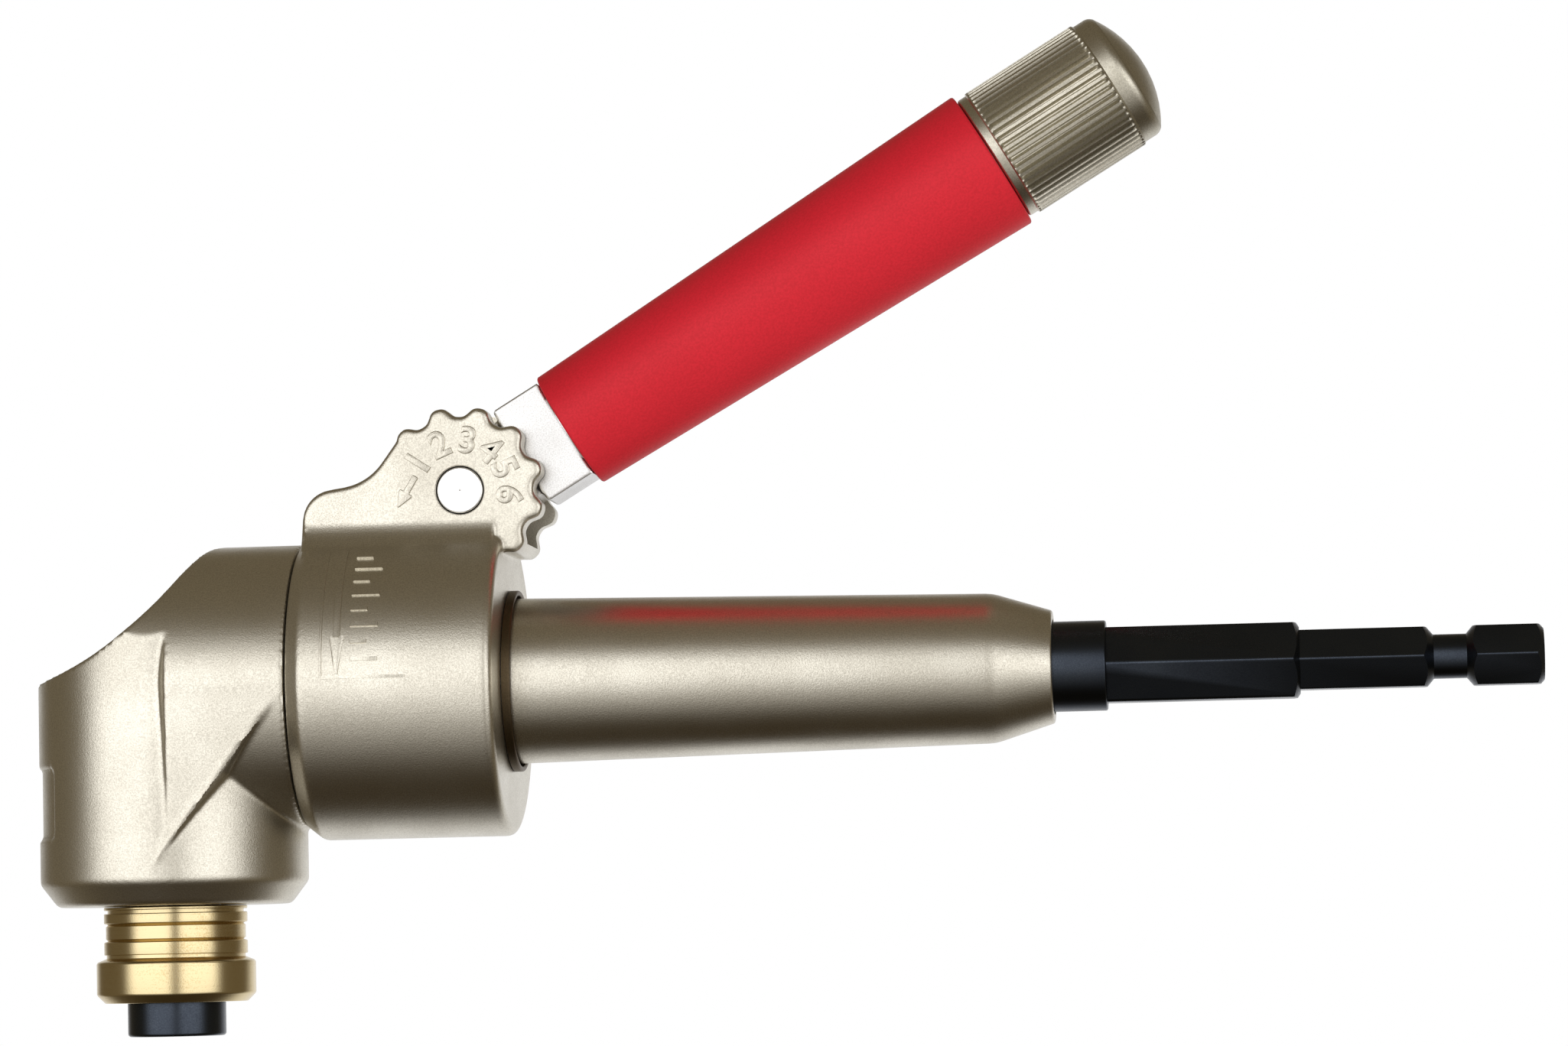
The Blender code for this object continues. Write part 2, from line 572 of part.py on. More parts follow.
def flanged_bushing(journal, wall, end):
    inner, outer = journal + GAP, journal + GAP + wall
    return turned([(FLANGE_FACE, inner), (end, inner), (end, outer), (FLANGE_FACE + BUSHING_FLANGE, outer),
                   (FLANGE_FACE + BUSHING_FLANGE, outer + FLANGE_STEP), (FLANGE_FACE, outer + FLANGE_STEP)],
                  SMALL_ROUND)


def make_bearings(hub):
    rear = flanged_bushing(DRIVE_JOURNAL, BUSHING_WALL, REAR_BORE_END - GAP)
    add_object("input_bushing_rear", rear, hub, ALONG_X, "bronze")
    lower = flanged_bushing(OUTPUT_JOURNAL, BUSHING_WALL, FOOT - GAP)
    add_object("output_bushing", lower, hub, DOWNWARDS, "bronze")
    washers = {"pinion_washer": (DRIVE_JOURNAL, ALONG_X), "gear_washer": (OUTPUT_JOURNAL, DOWNWARDS)}
    for name, (journal, turn) in washers.items():
        washer = ring(GEAR_BACK + GAP, GEAR_BACK + GAP + WASHER, journal + GAP, GEAR_HUB_RADIUS + MM)
        add_object(name, washer, hub, turn, "steel")


def make_drive_shaft(hub):
    """Shaft with the gear seat, two journals and a clip groove, then the stepped hex shank."""
    groove = FRONT_BUSHING - GAP - CLIP_THICKNESS
    toe = (CONE_LENGTH - GEAR_FACE) * math.cos(CONE_ANGLE)
    sections = [circle(toe, SEAT_RADIUS), circle(GEAR_BACK + GAP, SEAT_RADIUS),
                circle(GEAR_BACK + GAP, DRIVE_JOURNAL), circle(REAR_BORE_END, DRIVE_JOURNAL),
                circle(REAR_BORE_END + GAP, SHAFT_WAIST), circle(groove, SHAFT_WAIST),
                circle(groove + CLIP_THICKNESS, SHAFT_WAIST), circle(groove + CLIP_THICKNESS, SHAFT_RADIUS),
                circle(ROUND_END - HEX_CHAMFER, SHAFT_RADIUS),
                hexagon(ROUND_END, LARGE_HEX, SHAFT_RADIUS - HEX_CHAMFER / 2)]
    large_corner = LARGE_HEX / math.sqrt(3)
    small_corner = SMALL_HEX / math.sqrt(3)
    sections += [hexagon(ROUND_END + HEX_CHAMFER, LARGE_HEX, large_corner),
                 hexagon(LARGE_END, LARGE_HEX, large_corner),
                 hexagon(LARGE_END + HEX_CHAMFER, SMALL_HEX, small_corner),
                 hexagon(SMALL_END, SMALL_HEX, small_corner),
                 circle(SMALL_END + GROOVE_SLOPE, GROOVE_NECK),
                 circle(GROOVE_END - GROOVE_SLOPE, GROOVE_NECK),
                 hexagon(GROOVE_END, SMALL_HEX, small_corner),
                 hexagon(SHANK_END - HEX_CHAMFER, SMALL_HEX, small_corner),
                 hexagon(SHANK_END, SMALL_HEX, SMALL_HEX / 2 - HEX_CHAMFER / 2)]
    shank = lofted(sections, even_azimuths(SHAFT_FACETS))
    add_object("drive_shank", shank, hub, ALONG_X, "black_oxide")
    add_object("input_pinion", bevel_gear(tooth_at_contact=False), hub, ALONG_X, "steel")
    clip = ring(groove, groove + CLIP_THICKNESS, SHAFT_WAIST + GAP, SHAFT_WAIST + CLIP_HEIGHT + GAP)
    add_object("shaft_clip", clip, hub, ALONG_X, "steel")


def make_output(hub):
    """Spindle with the gear on top and a hex socket below, and what holds the sleeve's spring."""
    toe = (CONE_LENGTH - GEAR_FACE) * math.cos(CONE_ANGLE)
    tip = FOOT + SPINDLE_REACH
    mouth = SOCKET_FLATS / math.sqrt(3)
    groove_radius = SPINDLE_RADIUS - CLIP_HEIGHT / 2
    sections = [circle(toe, SEAT_RADIUS), circle(GEAR_BACK + GAP, SEAT_RADIUS),
                circle(GEAR_BACK + GAP, OUTPUT_JOURNAL), circle(FOOT, OUTPUT_JOURNAL),
                circle(FOOT + GAP, SPINDLE_RADIUS), circle(SLEEVE_CLIP, SPINDLE_RADIUS),
                circle(SLEEVE_CLIP, groove_radius), circle(SLEEVE_CLIP + CLIP_THICKNESS, groove_radius),
                circle(SLEEVE_CLIP + CLIP_THICKNESS, SPINDLE_RADIUS),
                circle(tip - HEX_CHAMFER / 2, SPINDLE_RADIUS), circle(tip, SPINDLE_RADIUS - HEX_CHAMFER / 2),
                circle(tip, mouth + GAP), hexagon(tip - HEX_CHAMFER, SOCKET_FLATS, mouth),
                hexagon(tip - SOCKET_DEPTH, SOCKET_FLATS, mouth)]
    body = lofted(sections, even_azimuths(SHAFT_FACETS))
    spindle = add_object("output_spindle", body, hub, DOWNWARDS, "black_oxide")
    hole = ring(SOCKET_FLATS / 4, 2 * SPINDLE_RADIUS, 0, BALL_RADIUS + GAP, 20)
    tool = add_object("ball_hole_tool", hole, hub, Matrix.Translation((0, 0, -BALL_LEVEL)) @ ALONG_X)
    combine(spindle, tool, "DIFFERENCE")
    add_object("output_gear", bevel_gear(tooth_at_contact=True), hub, DOWNWARDS, "steel")

    inner, outer = SPINDLE_RADIUS + GAP, SLEEVE_BAND_RADIUS - SPRING_WALL - GAP
    seat = ring(SEAT_LEVEL, SEAT_LEVEL + SEAT_WASHER, inner, outer)
    add_object("spring_washer", seat, hub, DOWNWARDS, "steel")
    clip = ring(SLEEVE_CLIP + GAP / 3, SLEEVE_CLIP + CLIP_THICKNESS - GAP / 3, groove_radius + GAP,
                SPINDLE_RADIUS + CLIP_HEIGHT)
    add_object("spindle_clip", clip, hub, DOWNWARDS, "steel")


def make_sleeve(hub):
    """Brass sleeve: its bore has a lip, a ramp that lets the ball out, a land and the spring's room."""
    ramp = BALL_TRAVEL / SLEEVE_TRAVEL
    land = SPINDLE_RADIUS + GAP
    at_ball = BALL_OUT + (BALL_RADIUS + GAP) * math.hypot(1, ramp)
    recess = at_ball + BALL_TRAVEL
    room = SLEEVE_BAND_RADIUS - SPRING_WALL
    outline = [(SLEEVE_TOP, land), (SLEEVE_TOP + SLEEVE_LIP, land), (SLEEVE_TOP + SLEEVE_LIP, recess),
               (BALL_LEVEL - SLEEVE_TRAVEL, recess), (BALL_LEVEL + (at_ball - land) / ramp, land),
               (SPRING_TOP, land), (SPRING_TOP, room), (SLEEVE_FOOT, room),
               (SLEEVE_FOOT, SLEEVE_BAND_RADIUS - SLEEVE_LIP),
               (SLEEVE_FOOT - SLEEVE_LIP, SLEEVE_BAND_RADIUS),
               (SLEEVE_TOP + SLEEVE_BAND_TOP, SLEEVE_BAND_RADIUS),
               (SLEEVE_TOP + SLEEVE_BAND_TOP - SLEEVE_FLARE, SLEEVE_WAIST_RADIUS),
               (SLEEVE_TOP + SLEEVE_BAND_TOP / 2, SLEEVE_WAIST_RADIUS),
               (SLEEVE_TOP + MM, SLEEVE_TOP_RADIUS), (SLEEVE_TOP, SLEEVE_TOP_RADIUS)]
    add_object("release_sleeve", turned(outline), hub, DOWNWARDS, "brass")


def make_ball(hub):
    ball = bmesh.new()
    bmesh.ops.create_icosphere(ball, subdivisions=3, radius=BALL_RADIUS)
    obj = add_object("detent_ball", ball, hub, UPWARDS, "steel")
    obj.location = (BALL_OUT, 0, -BALL_LEVEL)


def make_spring(hub):
    """Round wire coil between the sleeve's land and its seat washer."""
    points_per_turn = 14
    top = -SPRING_TOP - GAP - SPRING_WIRE
    foot = -SEAT_LEVEL + GAP + SPRING_WIRE
    radius = (SPINDLE_RADIUS + SLEEVE_BAND_RADIUS - SPRING_WALL) / 2
    count = round(points_per_turn * SPRING_TURNS)
    coil = bpy.data.curves.new("sleeve_spring", "CURVE")
    coil.dimensions = "3D"
    coil.bevel_depth = SPRING_WIRE
    coil.bevel_resolution = 2
    coil.use_fill_caps = True
    wire = coil.splines.new("POLY")
    wire.points.add(count)
    for index, point in enumerate(wire.points):
        angle = 2 * math.pi * index / points_per_turn
        height = top + (foot - top) * index / count
        point.co = (radius * math.cos(angle), radius * math.sin(angle), height, 1)
    obj = bpy.data.objects.new("sleeve_spring", coil)
    obj.parent = hub
    coil.materials.append(MATERIALS["steel"])
    bpy.context.scene.collection.objects.link(obj)


def ear_outline():
    """Side outline of both ears in X and Z: tab, S curve, scallops and the foot inside the collar."""
    mean, swing = LOBE_RADIUS - LOBE_DEPTH / 2, LOBE_DEPTH / 2
    steps = 38
    lobes = []
    for step in range(steps + 1):
        angle = LOBE_FIRST + (LOBE_LAST - LOBE_FIRST) * step / steps
        radius = mean + swing * math.cos(math.radians((angle - LOBE_PITCH / 2) * 360 / LOBE_PITCH))
        lobes.append(Vector((PIN_X, PIN_Z)) + Matrix.Rotation(math.radians(angle), 2) @ Vector((radius, 0)))
    tab_top = COLLAR_RADIUS + TAB_HEIGHT
    start = COLLAR_START + GAP
    rise = lobes[0].y - tab_top
    ease = TAB_EASE * rise / math.sin(TAB_SLOPE)
    tab = rounded([(start, NECK_RADIUS), (start + TAB_LEAN, tab_top - TAB_FALL, TAB_ROUND),
                   (lobes[0].x - rise / math.tan(TAB_SLOPE), tab_top, ease), lobes[0]])
    points = tab[:-1] + lobes
    points.append(Vector((COLLAR_END - COLLAR_ROUND, NECK_RADIUS)))
    return points


def make_collar(hub):
    """Turned collar with the ears blended on, then bored, slotted, windowed and drilled."""
    on_side = Matrix.Rotation(math.radians(90), 4, "X")
    outline = [(COLLAR_START, 0), (COLLAR_START, COLLAR_RADIUS - COLLAR_CHAMFER[1]),
               (COLLAR_START + COLLAR_CHAMFER[0], COLLAR_RADIUS), (COLLAR_END, COLLAR_RADIUS, COLLAR_ROUND),
               (COLLAR_END, 0)]
    collar = add_object("swivel_collar", turned(outline, FINE), hub, ALONG_X, "cast_nickel")
    ears = prism(ear_outline(), -EAR_FACE, EAR_FACE, EAR_CHAMFER)
    combine(collar, add_object("ears_tool", ears, hub, on_side), "UNION")

    reach = EAR_FACE + EAR_FILLET
    height = math.sqrt((COLLAR_RADIUS + EAR_FILLET) ** 2 - reach ** 2)
    end = 180 + math.degrees(math.atan2(height, reach))
    flank = [Vector((reach, height)) + point for point in arc(EAR_FILLET + OVERLAP, 180, end, 5)]
    side = [Vector((-point.y, point.x)) for point in flank]
    side.append(Vector((-NECK_RADIUS, side[-1].y)))
    saddle = side + [Vector((point.x, -point.y)) for point in reversed(side)]
    tab_front = COLLAR_START + GAP + TAB_LEAN
    blend = prism(saddle, tab_front, COLLAR_END - COLLAR_ROUND)
    combine(collar, add_object("ear_blend_tool", blend, hub, ALONG_X), "UNION")

    bore = [(COLLAR_START - MM, 0), (COLLAR_START - MM, COLLAR_BORE), (COLLAR_STOP, COLLAR_BORE),
            (COLLAR_STOP, TUBE_RADIUS + GAP), (COLLAR_END + MM, TUBE_RADIUS + GAP), (COLLAR_END + MM, 0)]
    combine(collar, add_object("collar_bore_tool", turned(bore, FINE), hub, ALONG_X), "DIFFERENCE")
    hole = ring(-EAR_FACE - MM, EAR_FACE + MM, 0, PIN_RADIUS + GAP)
    hole.transform(Matrix.Translation((PIN_X, PIN_Z, 0)))
    combine(collar, add_object("pin_hole_tool", hole, hub, on_side), "DIFFERENCE")
    clear = PIN_Z + 2 * LOBE_RADIUS
    slot = rounded([(SLOT_START, SLOT_FLOOR, MM), (PIN_X + 2 * LOBE_RADIUS, SLOT_FLOOR),
                    (PIN_X + 2 * LOBE_RADIUS, clear), (SLOT_START, clear)])
    combine(collar, add_object("slot_tool", prism(slot, -SLOT_HALF, SLOT_HALF), hub, on_side), "DIFFERENCE")
    shoe_start = COLLAR_STOP - GAP - GAP - SHOE_LENGTH
    window = box_sketch((shoe_start - GAP, -SHOE_WIDTH / 2 - GAP, CHAMBER_RADIUS),
                        (shoe_start + SHOE_LENGTH + GAP, SHOE_WIDTH / 2 + GAP, SLOT_FLOOR + MM))
    combine(collar, add_object("shoe_window_tool", window, hub), "DIFFERENCE")
    pin = turned([(-EAR_FACE, 0), (-EAR_FACE, PIN_RADIUS, GAP), (EAR_FACE, PIN_RADIUS, GAP), (EAR_FACE, 0)],
                 SMALL_ROUND)
    add_object("pivot_pin", pin, hub, Matrix.Translation((PIN_X, 0, PIN_Z)) @ on_side, "steel")

    shoe = add_object("lock_shoe", box_sketch((shoe_start, -SHOE_WIDTH / 2, NECK_RADIUS / 2),
                                              (shoe_start + SHOE_LENGTH, SHOE_WIDTH / 2, SHOE_TOP)),
                      hub, UPWARDS, "steel")
    saddle_cut = ring(COLLAR_START, COLLAR_END, 0, NECK_RADIUS + GAP, FINE)
    combine(shoe, add_object("shoe_saddle_tool", saddle_cut, hub, ALONG_X), "DIFFERENCE")


def box_sketch(low, high):
    sketch = bmesh.new()
    bmesh.ops.create_cube(sketch, size=1)
    size = Vector(high) - Vector(low)
    sketch.transform(Matrix.Translation((Vector(low) + Vector(high)) / 2) @ Matrix.Diagonal((*size, 1)))
    return sketch


def cam_outline():
    """Side outline of the tang: a cam whose radius shrinks as the handle is raised."""
    start, end, steps = 75, 225, 20
    rest = 90 + math.degrees(HANDLE_ANGLE)
    points = [Vector((ROOT_START + MM, -TANG_HALF_HEIGHT))]
    for step in range(steps + 1):
        angle = start + (end - start) * step / steps
        radius = CAM_RADIUS - CAM_RISE * math.radians(angle - rest)
        points.append(Matrix.Rotation(math.radians(-angle), 2) @ Vector((radius, 0)))
    last = points[-1].length
    rear = 360 - end
    points += [*arc(last, (rear + 90) / 2, 90, 1), Vector((ROOT_START + MM, TANG_HALF_HEIGHT))]
    return points


def make_lever(pivot):
    """Steel lever: cam tang, root with two flats, spigot for the grip. Then the red grip itself."""
    on_side = Matrix.Rotation(math.radians(90), 4, "X")
    half = LEVER_FLATS / 2
    side = math.degrees(math.asin(half / ROOT_RADIUS))
    bar = arc(ROOT_RADIUS, side, -side, 8) + arc(ROOT_RADIUS, 180 + side, 180 - side, 8)
    root = add_object("cam_lever", prism(bar, ROOT_START, ROOT_START + ROOT_LENGTH, ROOT_CHAMFER), pivot,
                      ALONG_X, "steel")
    thickness = half - TANG_SIDE
    tang = prism(cam_outline(), -thickness, thickness)
    combine(root, add_object("tang_tool", tang, pivot, on_side), "UNION")
    spigot = ring(GRIP_START - GAP - OVERLAP, GRIP_START + SPIGOT_LENGTH, 0, SPIGOT_RADIUS)
    combine(root, add_object("spigot_tool", spigot, pivot, ALONG_X), "UNION")
    hole = ring(-LEVER_FLATS, LEVER_FLATS, 0, PIN_RADIUS + GAP)
    combine(root, add_object("lever_hole_tool", hole, pivot, on_side), "DIFFERENCE")

    grip = [(GRIP_START, GRIP_BORE), (GRIP_START, ROOT_RADIUS - GRIP_CHAMFER),
            (GRIP_START + GRIP_CHAMFER, ROOT_RADIUS), (GRIP_END - GRIP_CHAMFER, GRIP_END_RADIUS),
            (GRIP_END, GRIP_END_RADIUS - GRIP_CHAMFER), (GRIP_END, GRIP_BORE)]
    add_object("grip_tube", turned(grip), pivot, ALONG_X, "red_anodised")


def make_cap(pivot):
    """Cap with a straight knurl and a spigot that carries the seal."""
    end = CAP_START + CAP_LENGTH
    knurl_start = CAP_START + CAP_NECK
    knurl_end = end - CAP_DOME - CAP_RING
    groove = CAP_START - CAP_SPIGOT / 3
    groove_radius = SPIGOT_RADIUS - SEAL_DEPTH
    neck = CAP_RADIUS - CAP_NECK_DEPTH - KNURL_DEPTH
    smooth = CAP_RADIUS - KNURL_DEPTH / 2
    dome_radius = (smooth ** 2 + CAP_DOME ** 2) / (2 * CAP_DOME)
    spread = math.degrees(math.asin(smooth / dome_radius))
    dome = [(end - dome_radius + point.x, point.y) for point in arc(dome_radius, spread, 0, 5)]
    outline = [(CAP_START - CAP_SPIGOT, 0), (CAP_START - CAP_SPIGOT, SPIGOT_RADIUS),
               (groove - SEAL_LENGTH, SPIGOT_RADIUS), (groove - SEAL_LENGTH, groove_radius),
               (groove, groove_radius), (groove, SPIGOT_RADIUS), (CAP_START, SPIGOT_RADIUS),
               (CAP_START, neck),
               (knurl_end, neck), (knurl_end, smooth), (*dome[0], CAP_EDGE), *dome[1:]]
    cap = add_object("end_cap", turned(outline), pivot, ALONG_X, "steel")
    ridges = []
    for index, azimuth in enumerate(even_azimuths(2 * KNURL_RIDGES)):
        radius = CAP_RADIUS - KNURL_DEPTH * (index % 2)
        ridges.append(Vector((radius * math.cos(azimuth), radius * math.sin(azimuth))))
    band = prism(ridges, knurl_start, knurl_end + OVERLAP)
    combine(cap, add_object("knurl_tool", band, pivot, ALONG_X), "UNION")
    seal = ring(groove - SEAL_LENGTH + GAP / 3, groove - GAP / 3, groove_radius + GAP,
                SPIGOT_RADIUS + GAP / 3)
    add_object("cap_seal", seal, pivot, ALONG_X, "seal_rubber")


clear_scene()
MATERIALS = {slot: finish_material(slot) for slot in COLOURS}
gear_centre = add_empty("gear_centre", (-SHANK_END, 0, 0))
lever_pivot = add_empty("lever_pivot", (PIN_X, 0, PIN_Z), -HANDLE_ANGLE, gear_centre)
make_gear_head(gear_centre)
make_barrel(gear_centre)
make_bearings(gear_centre)
make_drive_shaft(gear_centre)
make_output(gear_centre)
make_sleeve(gear_centre)
make_ball(gear_centre)
make_spring(gear_centre)
make_collar(gear_centre)
make_lever(lever_pivot)
make_cap(lever_pivot)
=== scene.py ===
"""Right angle attachment: the dressed model in a plain studio.

Every piece is drawn about the gear centre, where the two shafts cross, or about the lever's pin,
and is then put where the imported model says. Sizes are in metres, written as millimetres times MM.
"""

import json
import logging
import math
from collections.abc import Callable, Iterable, Sequence
from dataclasses import dataclass
from enum import Enum

import bpy
from mathutils import Matrix, Vector


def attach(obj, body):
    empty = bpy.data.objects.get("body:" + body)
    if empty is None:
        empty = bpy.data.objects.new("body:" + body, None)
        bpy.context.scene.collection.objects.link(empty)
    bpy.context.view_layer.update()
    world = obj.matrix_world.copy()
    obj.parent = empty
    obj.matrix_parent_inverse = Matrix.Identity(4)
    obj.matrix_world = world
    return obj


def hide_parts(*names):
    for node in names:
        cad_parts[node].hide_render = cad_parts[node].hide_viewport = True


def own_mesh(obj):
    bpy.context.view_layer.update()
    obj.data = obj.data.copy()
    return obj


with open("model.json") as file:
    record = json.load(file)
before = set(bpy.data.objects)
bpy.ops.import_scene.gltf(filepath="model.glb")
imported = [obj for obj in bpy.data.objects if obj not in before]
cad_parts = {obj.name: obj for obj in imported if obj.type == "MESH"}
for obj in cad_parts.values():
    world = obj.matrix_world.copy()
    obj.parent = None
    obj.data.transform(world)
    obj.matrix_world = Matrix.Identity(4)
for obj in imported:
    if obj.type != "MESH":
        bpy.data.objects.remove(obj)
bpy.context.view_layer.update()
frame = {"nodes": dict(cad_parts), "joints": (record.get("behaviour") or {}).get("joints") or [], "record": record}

MM = 0.001
FACETS = 192          # round a turned piece
ARC_STEP = math.radians(12)            # longest straight piece of a fillet, as an angle
ARC_LENGTH = 0.8 * MM                  # and as a length
SKIN = 0.22 * MM   # grid on which a casting's surface is laid
WELD = 0.002 * MM                      # closer points than this are one
OVERLAP = 0.05 * MM                    # joined shapes run this far into each other
PROUD = 0.02 * MM                      # a face that would lie in another stands this far out of it

log = logging.getLogger("attachment")

Outline = Sequence[tuple[float, ...]]
Object = bpy.types.Object
Socket = bpy.types.NodeSocket
Tree = bpy.types.NodeTree


def joint(name: str) -> dict:
    """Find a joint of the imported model.

    Args:
        name: The joint's name in the record.

    Returns:
        Its entry, with its place and axis in metres.
    """
    return next(entry for entry in frame["joints"] if entry["name"] == name)


class Cut(Enum):
    """What a tool does to the piece that it meets."""

    JOIN = "UNION"
    TAKE = "DIFFERENCE"
    KEEP = "INTERSECT"


class Along(Enum):
    """Which way a piece's own +Z comes to point."""

    UP = Matrix.Identity(4)
    DOWN = Matrix.Rotation(math.pi, 4, "X")
    DRIVE = Matrix.Rotation(math.pi / 2, 4, "Y")
    SIDE = Matrix.Rotation(math.pi / 2, 4, "X")


class Bench:
    """The modelling moves that every piece is made with."""

    @staticmethod
    def clear() -> None:
        """Leave edit mode and deselect everything."""
        if bpy.context.mode != "OBJECT":
            bpy.ops.object.mode_set(mode="OBJECT")
        bpy.ops.object.select_all(action="DESELECT")

    @staticmethod
    def take(obj: Object) -> None:
        """Make one object the only one selected, and the active one."""
        Bench.clear()
        obj.select_set(True)
        bpy.context.view_layer.objects.active = obj

    @staticmethod
    def edit(obj: Object) -> None:
        """Open one object in edit mode, with nothing selected in it."""
        Bench.take(obj)
        bpy.ops.object.mode_set(mode="EDIT")
        bpy.ops.mesh.select_mode(type="VERT")
        bpy.ops.mesh.select_all(action="DESELECT")

    @staticmethod
    def pick(obj: Object, where: Callable[[Vector], bool]) -> None:
        """Open an object in edit mode with the vertices selected that a test accepts.

        Args:
            obj: The mesh object.
            where: Test of a vertex's place.
        """
        Bench.edit(obj)
        bpy.ops.object.mode_set(mode="OBJECT")
        for vert in obj.data.vertices:
            vert.select = where(vert.co)
        bpy.ops.object.mode_set(mode="EDIT")

    @staticmethod
    def rounded(corners: Outline) -> list[Vector]:
        """Turn corners into an outline with real fillets.

        Args:
            corners: (u, v) or (u, v, fillet radius) for each corner, in order round a closed outline.

        Returns:
            The outline's points, with an arc at each fillet.
        """
        outline = []
        for index, (u, v, *fillet) in enumerate(corners):
            here = Vector((u, v))
            if not fillet:
                outline.append(here)
                continue
            before = (Vector(corners[index - 1][:2]) - here).normalized()
            after = (Vector(corners[(index + 1) % len(corners)][:2]) - here).normalized()
            half = before.angle(after) / 2
            centre = here + (before + after).normalized() * (fillet[0] / math.sin(half))
            reach = fillet[0] / math.tan(half)
            start = here + before * reach - centre
            end = here + after * reach - centre
            turn = math.remainder(math.atan2(end.y, end.x) - math.atan2(start.y, start.x), 2 * math.pi)
            steps = max(2, math.ceil(abs(turn) / ARC_STEP), math.ceil(abs(turn) * fillet[0] / ARC_LENGTH))
            outline += [centre + Matrix.Rotation(turn * step / steps, 2) @ start for step in range(steps + 1)]
        return outline

    @staticmethod
    def trace(name: str, points: Sequence[Vector]) -> Object:
        """Draw a chain of edges: one point, extruded from place to place.

        Args:
            name: Name of the new object.
            points: Places in the order of the chain.

        Returns:
            The object, in edit mode.
        """
        Bench.clear()
        bpy.ops.mesh.primitive_plane_add(size=MM)
        obj = bpy.context.object
        obj.name = name
        bpy.ops.object.mode_set(mode="EDIT")
        bpy.ops.mesh.select_mode(type="VERT")
        bpy.ops.mesh.merge(type="CENTER")
        bpy.ops.transform.translate(value=points[0])
        for here, there in zip(points, points[1:]):
            bpy.ops.mesh.extrude_region_move(TRANSFORM_OT_translate={"value": there - here})
        return obj

    @staticmethod
    def turn(name: str, corners: Outline, facets: int = FACETS) -> Object:
        """Turn a profile about +Z, as on a lathe.

        Args:
            name: Name of the new object.
            corners: (along, radius) or (along, radius, fillet) corners of the closed profile.
            facets: Steps round the axis.

        Returns:
            The closed turned piece.
        """
        profile = [Vector((point.y, 0, point.x)) for point in Bench.rounded(corners)]
        if min(point.x for point in profile) > WELD:
            profile.append(profile[0])
        obj = Bench.trace(name, profile)
        bpy.ops.mesh.select_all(action="SELECT")
        bpy.ops.mesh.spin(steps=facets, angle=2 * math.pi, center=(0, 0, 0), axis=(0, 0, 1))
        Bench.heal(obj)
        return obj

    @staticmethod
    def rod(name: str, corners: Outline, facets: int = FACETS) -> Object:
        """Turn a solid piece: the profile is led to the axis at both ends."""
        return Bench.turn(name, [(corners[0][0], 0), *corners, (corners[-1][0], 0)], facets)

    @staticmethod
    def heal(obj: Object) -> None:
        """Merge doubled points, drop loose ones and turn every face outwards."""
        Bench.edit(obj)
        bpy.ops.mesh.select_all(action="SELECT")
        bpy.ops.mesh.remove_doubles(threshold=WELD)
        bpy.ops.mesh.delete_loose()
        bpy.ops.mesh.select_all(action="SELECT")
        bpy.ops.mesh.normals_make_consistent(inside=False)
        Bench.clear()

    @staticmethod
    def plate(name: str, outline: Iterable[Vector], low: float, high: float, bevel: float = 0) -> Object:
        """Extrude a closed outline along +Z.

        Args:
            name: Name of the new object.
            outline: Points in the XY plane.
            low: Height of the lower face.
            high: Height of the upper face.
            bevel: Width of the rounded rim on both faces.

        Returns:
            The closed plate.
        """
        obj = Bench.trace(name, [Vector((point[0], point[1], low)) for point in outline])
        bpy.ops.mesh.select_all(action="SELECT")
        bpy.ops.mesh.edge_face_add()
        bpy.ops.mesh.extrude_region_move(TRANSFORM_OT_translate={"value": (0, 0, high - low)})
        Bench.heal(obj)
        if bevel:
            for level in (low, high):
                Bench.pick(obj, lambda co, level=level: abs(co.z - level) < WELD)
                bpy.ops.mesh.bevel(offset=bevel, segments=4, affect="EDGES")
            Bench.heal(obj)
        return obj

    @staticmethod
    def place(obj: Object, along: Along = Along.UP, at: Matrix | None = None) -> Object:
        """Turn and move a piece, with the result kept in its mesh.

        Args:
            obj: The piece.
            along: Which way its own +Z comes to point.
            at: Further placing, none if left out.

        Returns:
            The same piece, its object at the origin.
        """
        Bench.take(obj)
        obj.matrix_world = (at or Matrix.Identity(4)) @ along.value @ obj.matrix_world
        bpy.ops.object.transform_apply(location=True, rotation=True, scale=True)
        Bench.clear()
        return obj

    @staticmethod
    def apply(obj: Object, modifier: bpy.types.Modifier) -> None:
        """Apply one modifier."""
        Bench.take(obj)
        bpy.ops.object.modifier_apply(modifier=modifier.name)
        Bench.clear()

    @staticmethod
    def combine(obj: Object, tool: Object, cut: Cut) -> Object:
        """Join, take or keep a tool's shape, then put the tool away.

        Args:
            obj: The piece that changes.
            tool: The other shape, which is used up.
            cut: What happens to the piece.

        Returns:
            The changed piece.
        """
        modifier = obj.modifiers.new(tool.name, "BOOLEAN")
        modifier.operation = cut.value
        modifier.solver = "EXACT"
        modifier.object = tool
        Bench.apply(obj, modifier)
        bpy.data.objects.remove(tool, do_unlink=True)
        return obj

    @staticmethod
    def skin(obj: Object, grid: float, passes: int) -> Object:
        """Give a cut shape the one soft skin of a casting.

        Args:
            obj: The closed piece.
            grid: Size of the new surface's squares.
            passes: How often the surface is smoothed.

        Returns:
            The same piece.
        """
        laid = obj.modifiers.new("skin", "REMESH")
        laid.mode = "VOXEL"
        laid.voxel_size = grid
        Bench.apply(obj, laid)
        soft = obj.modifiers.new("soften", "SMOOTH")
        soft.factor = 0.5
        soft.iterations = passes
        Bench.apply(obj, soft)
        return obj

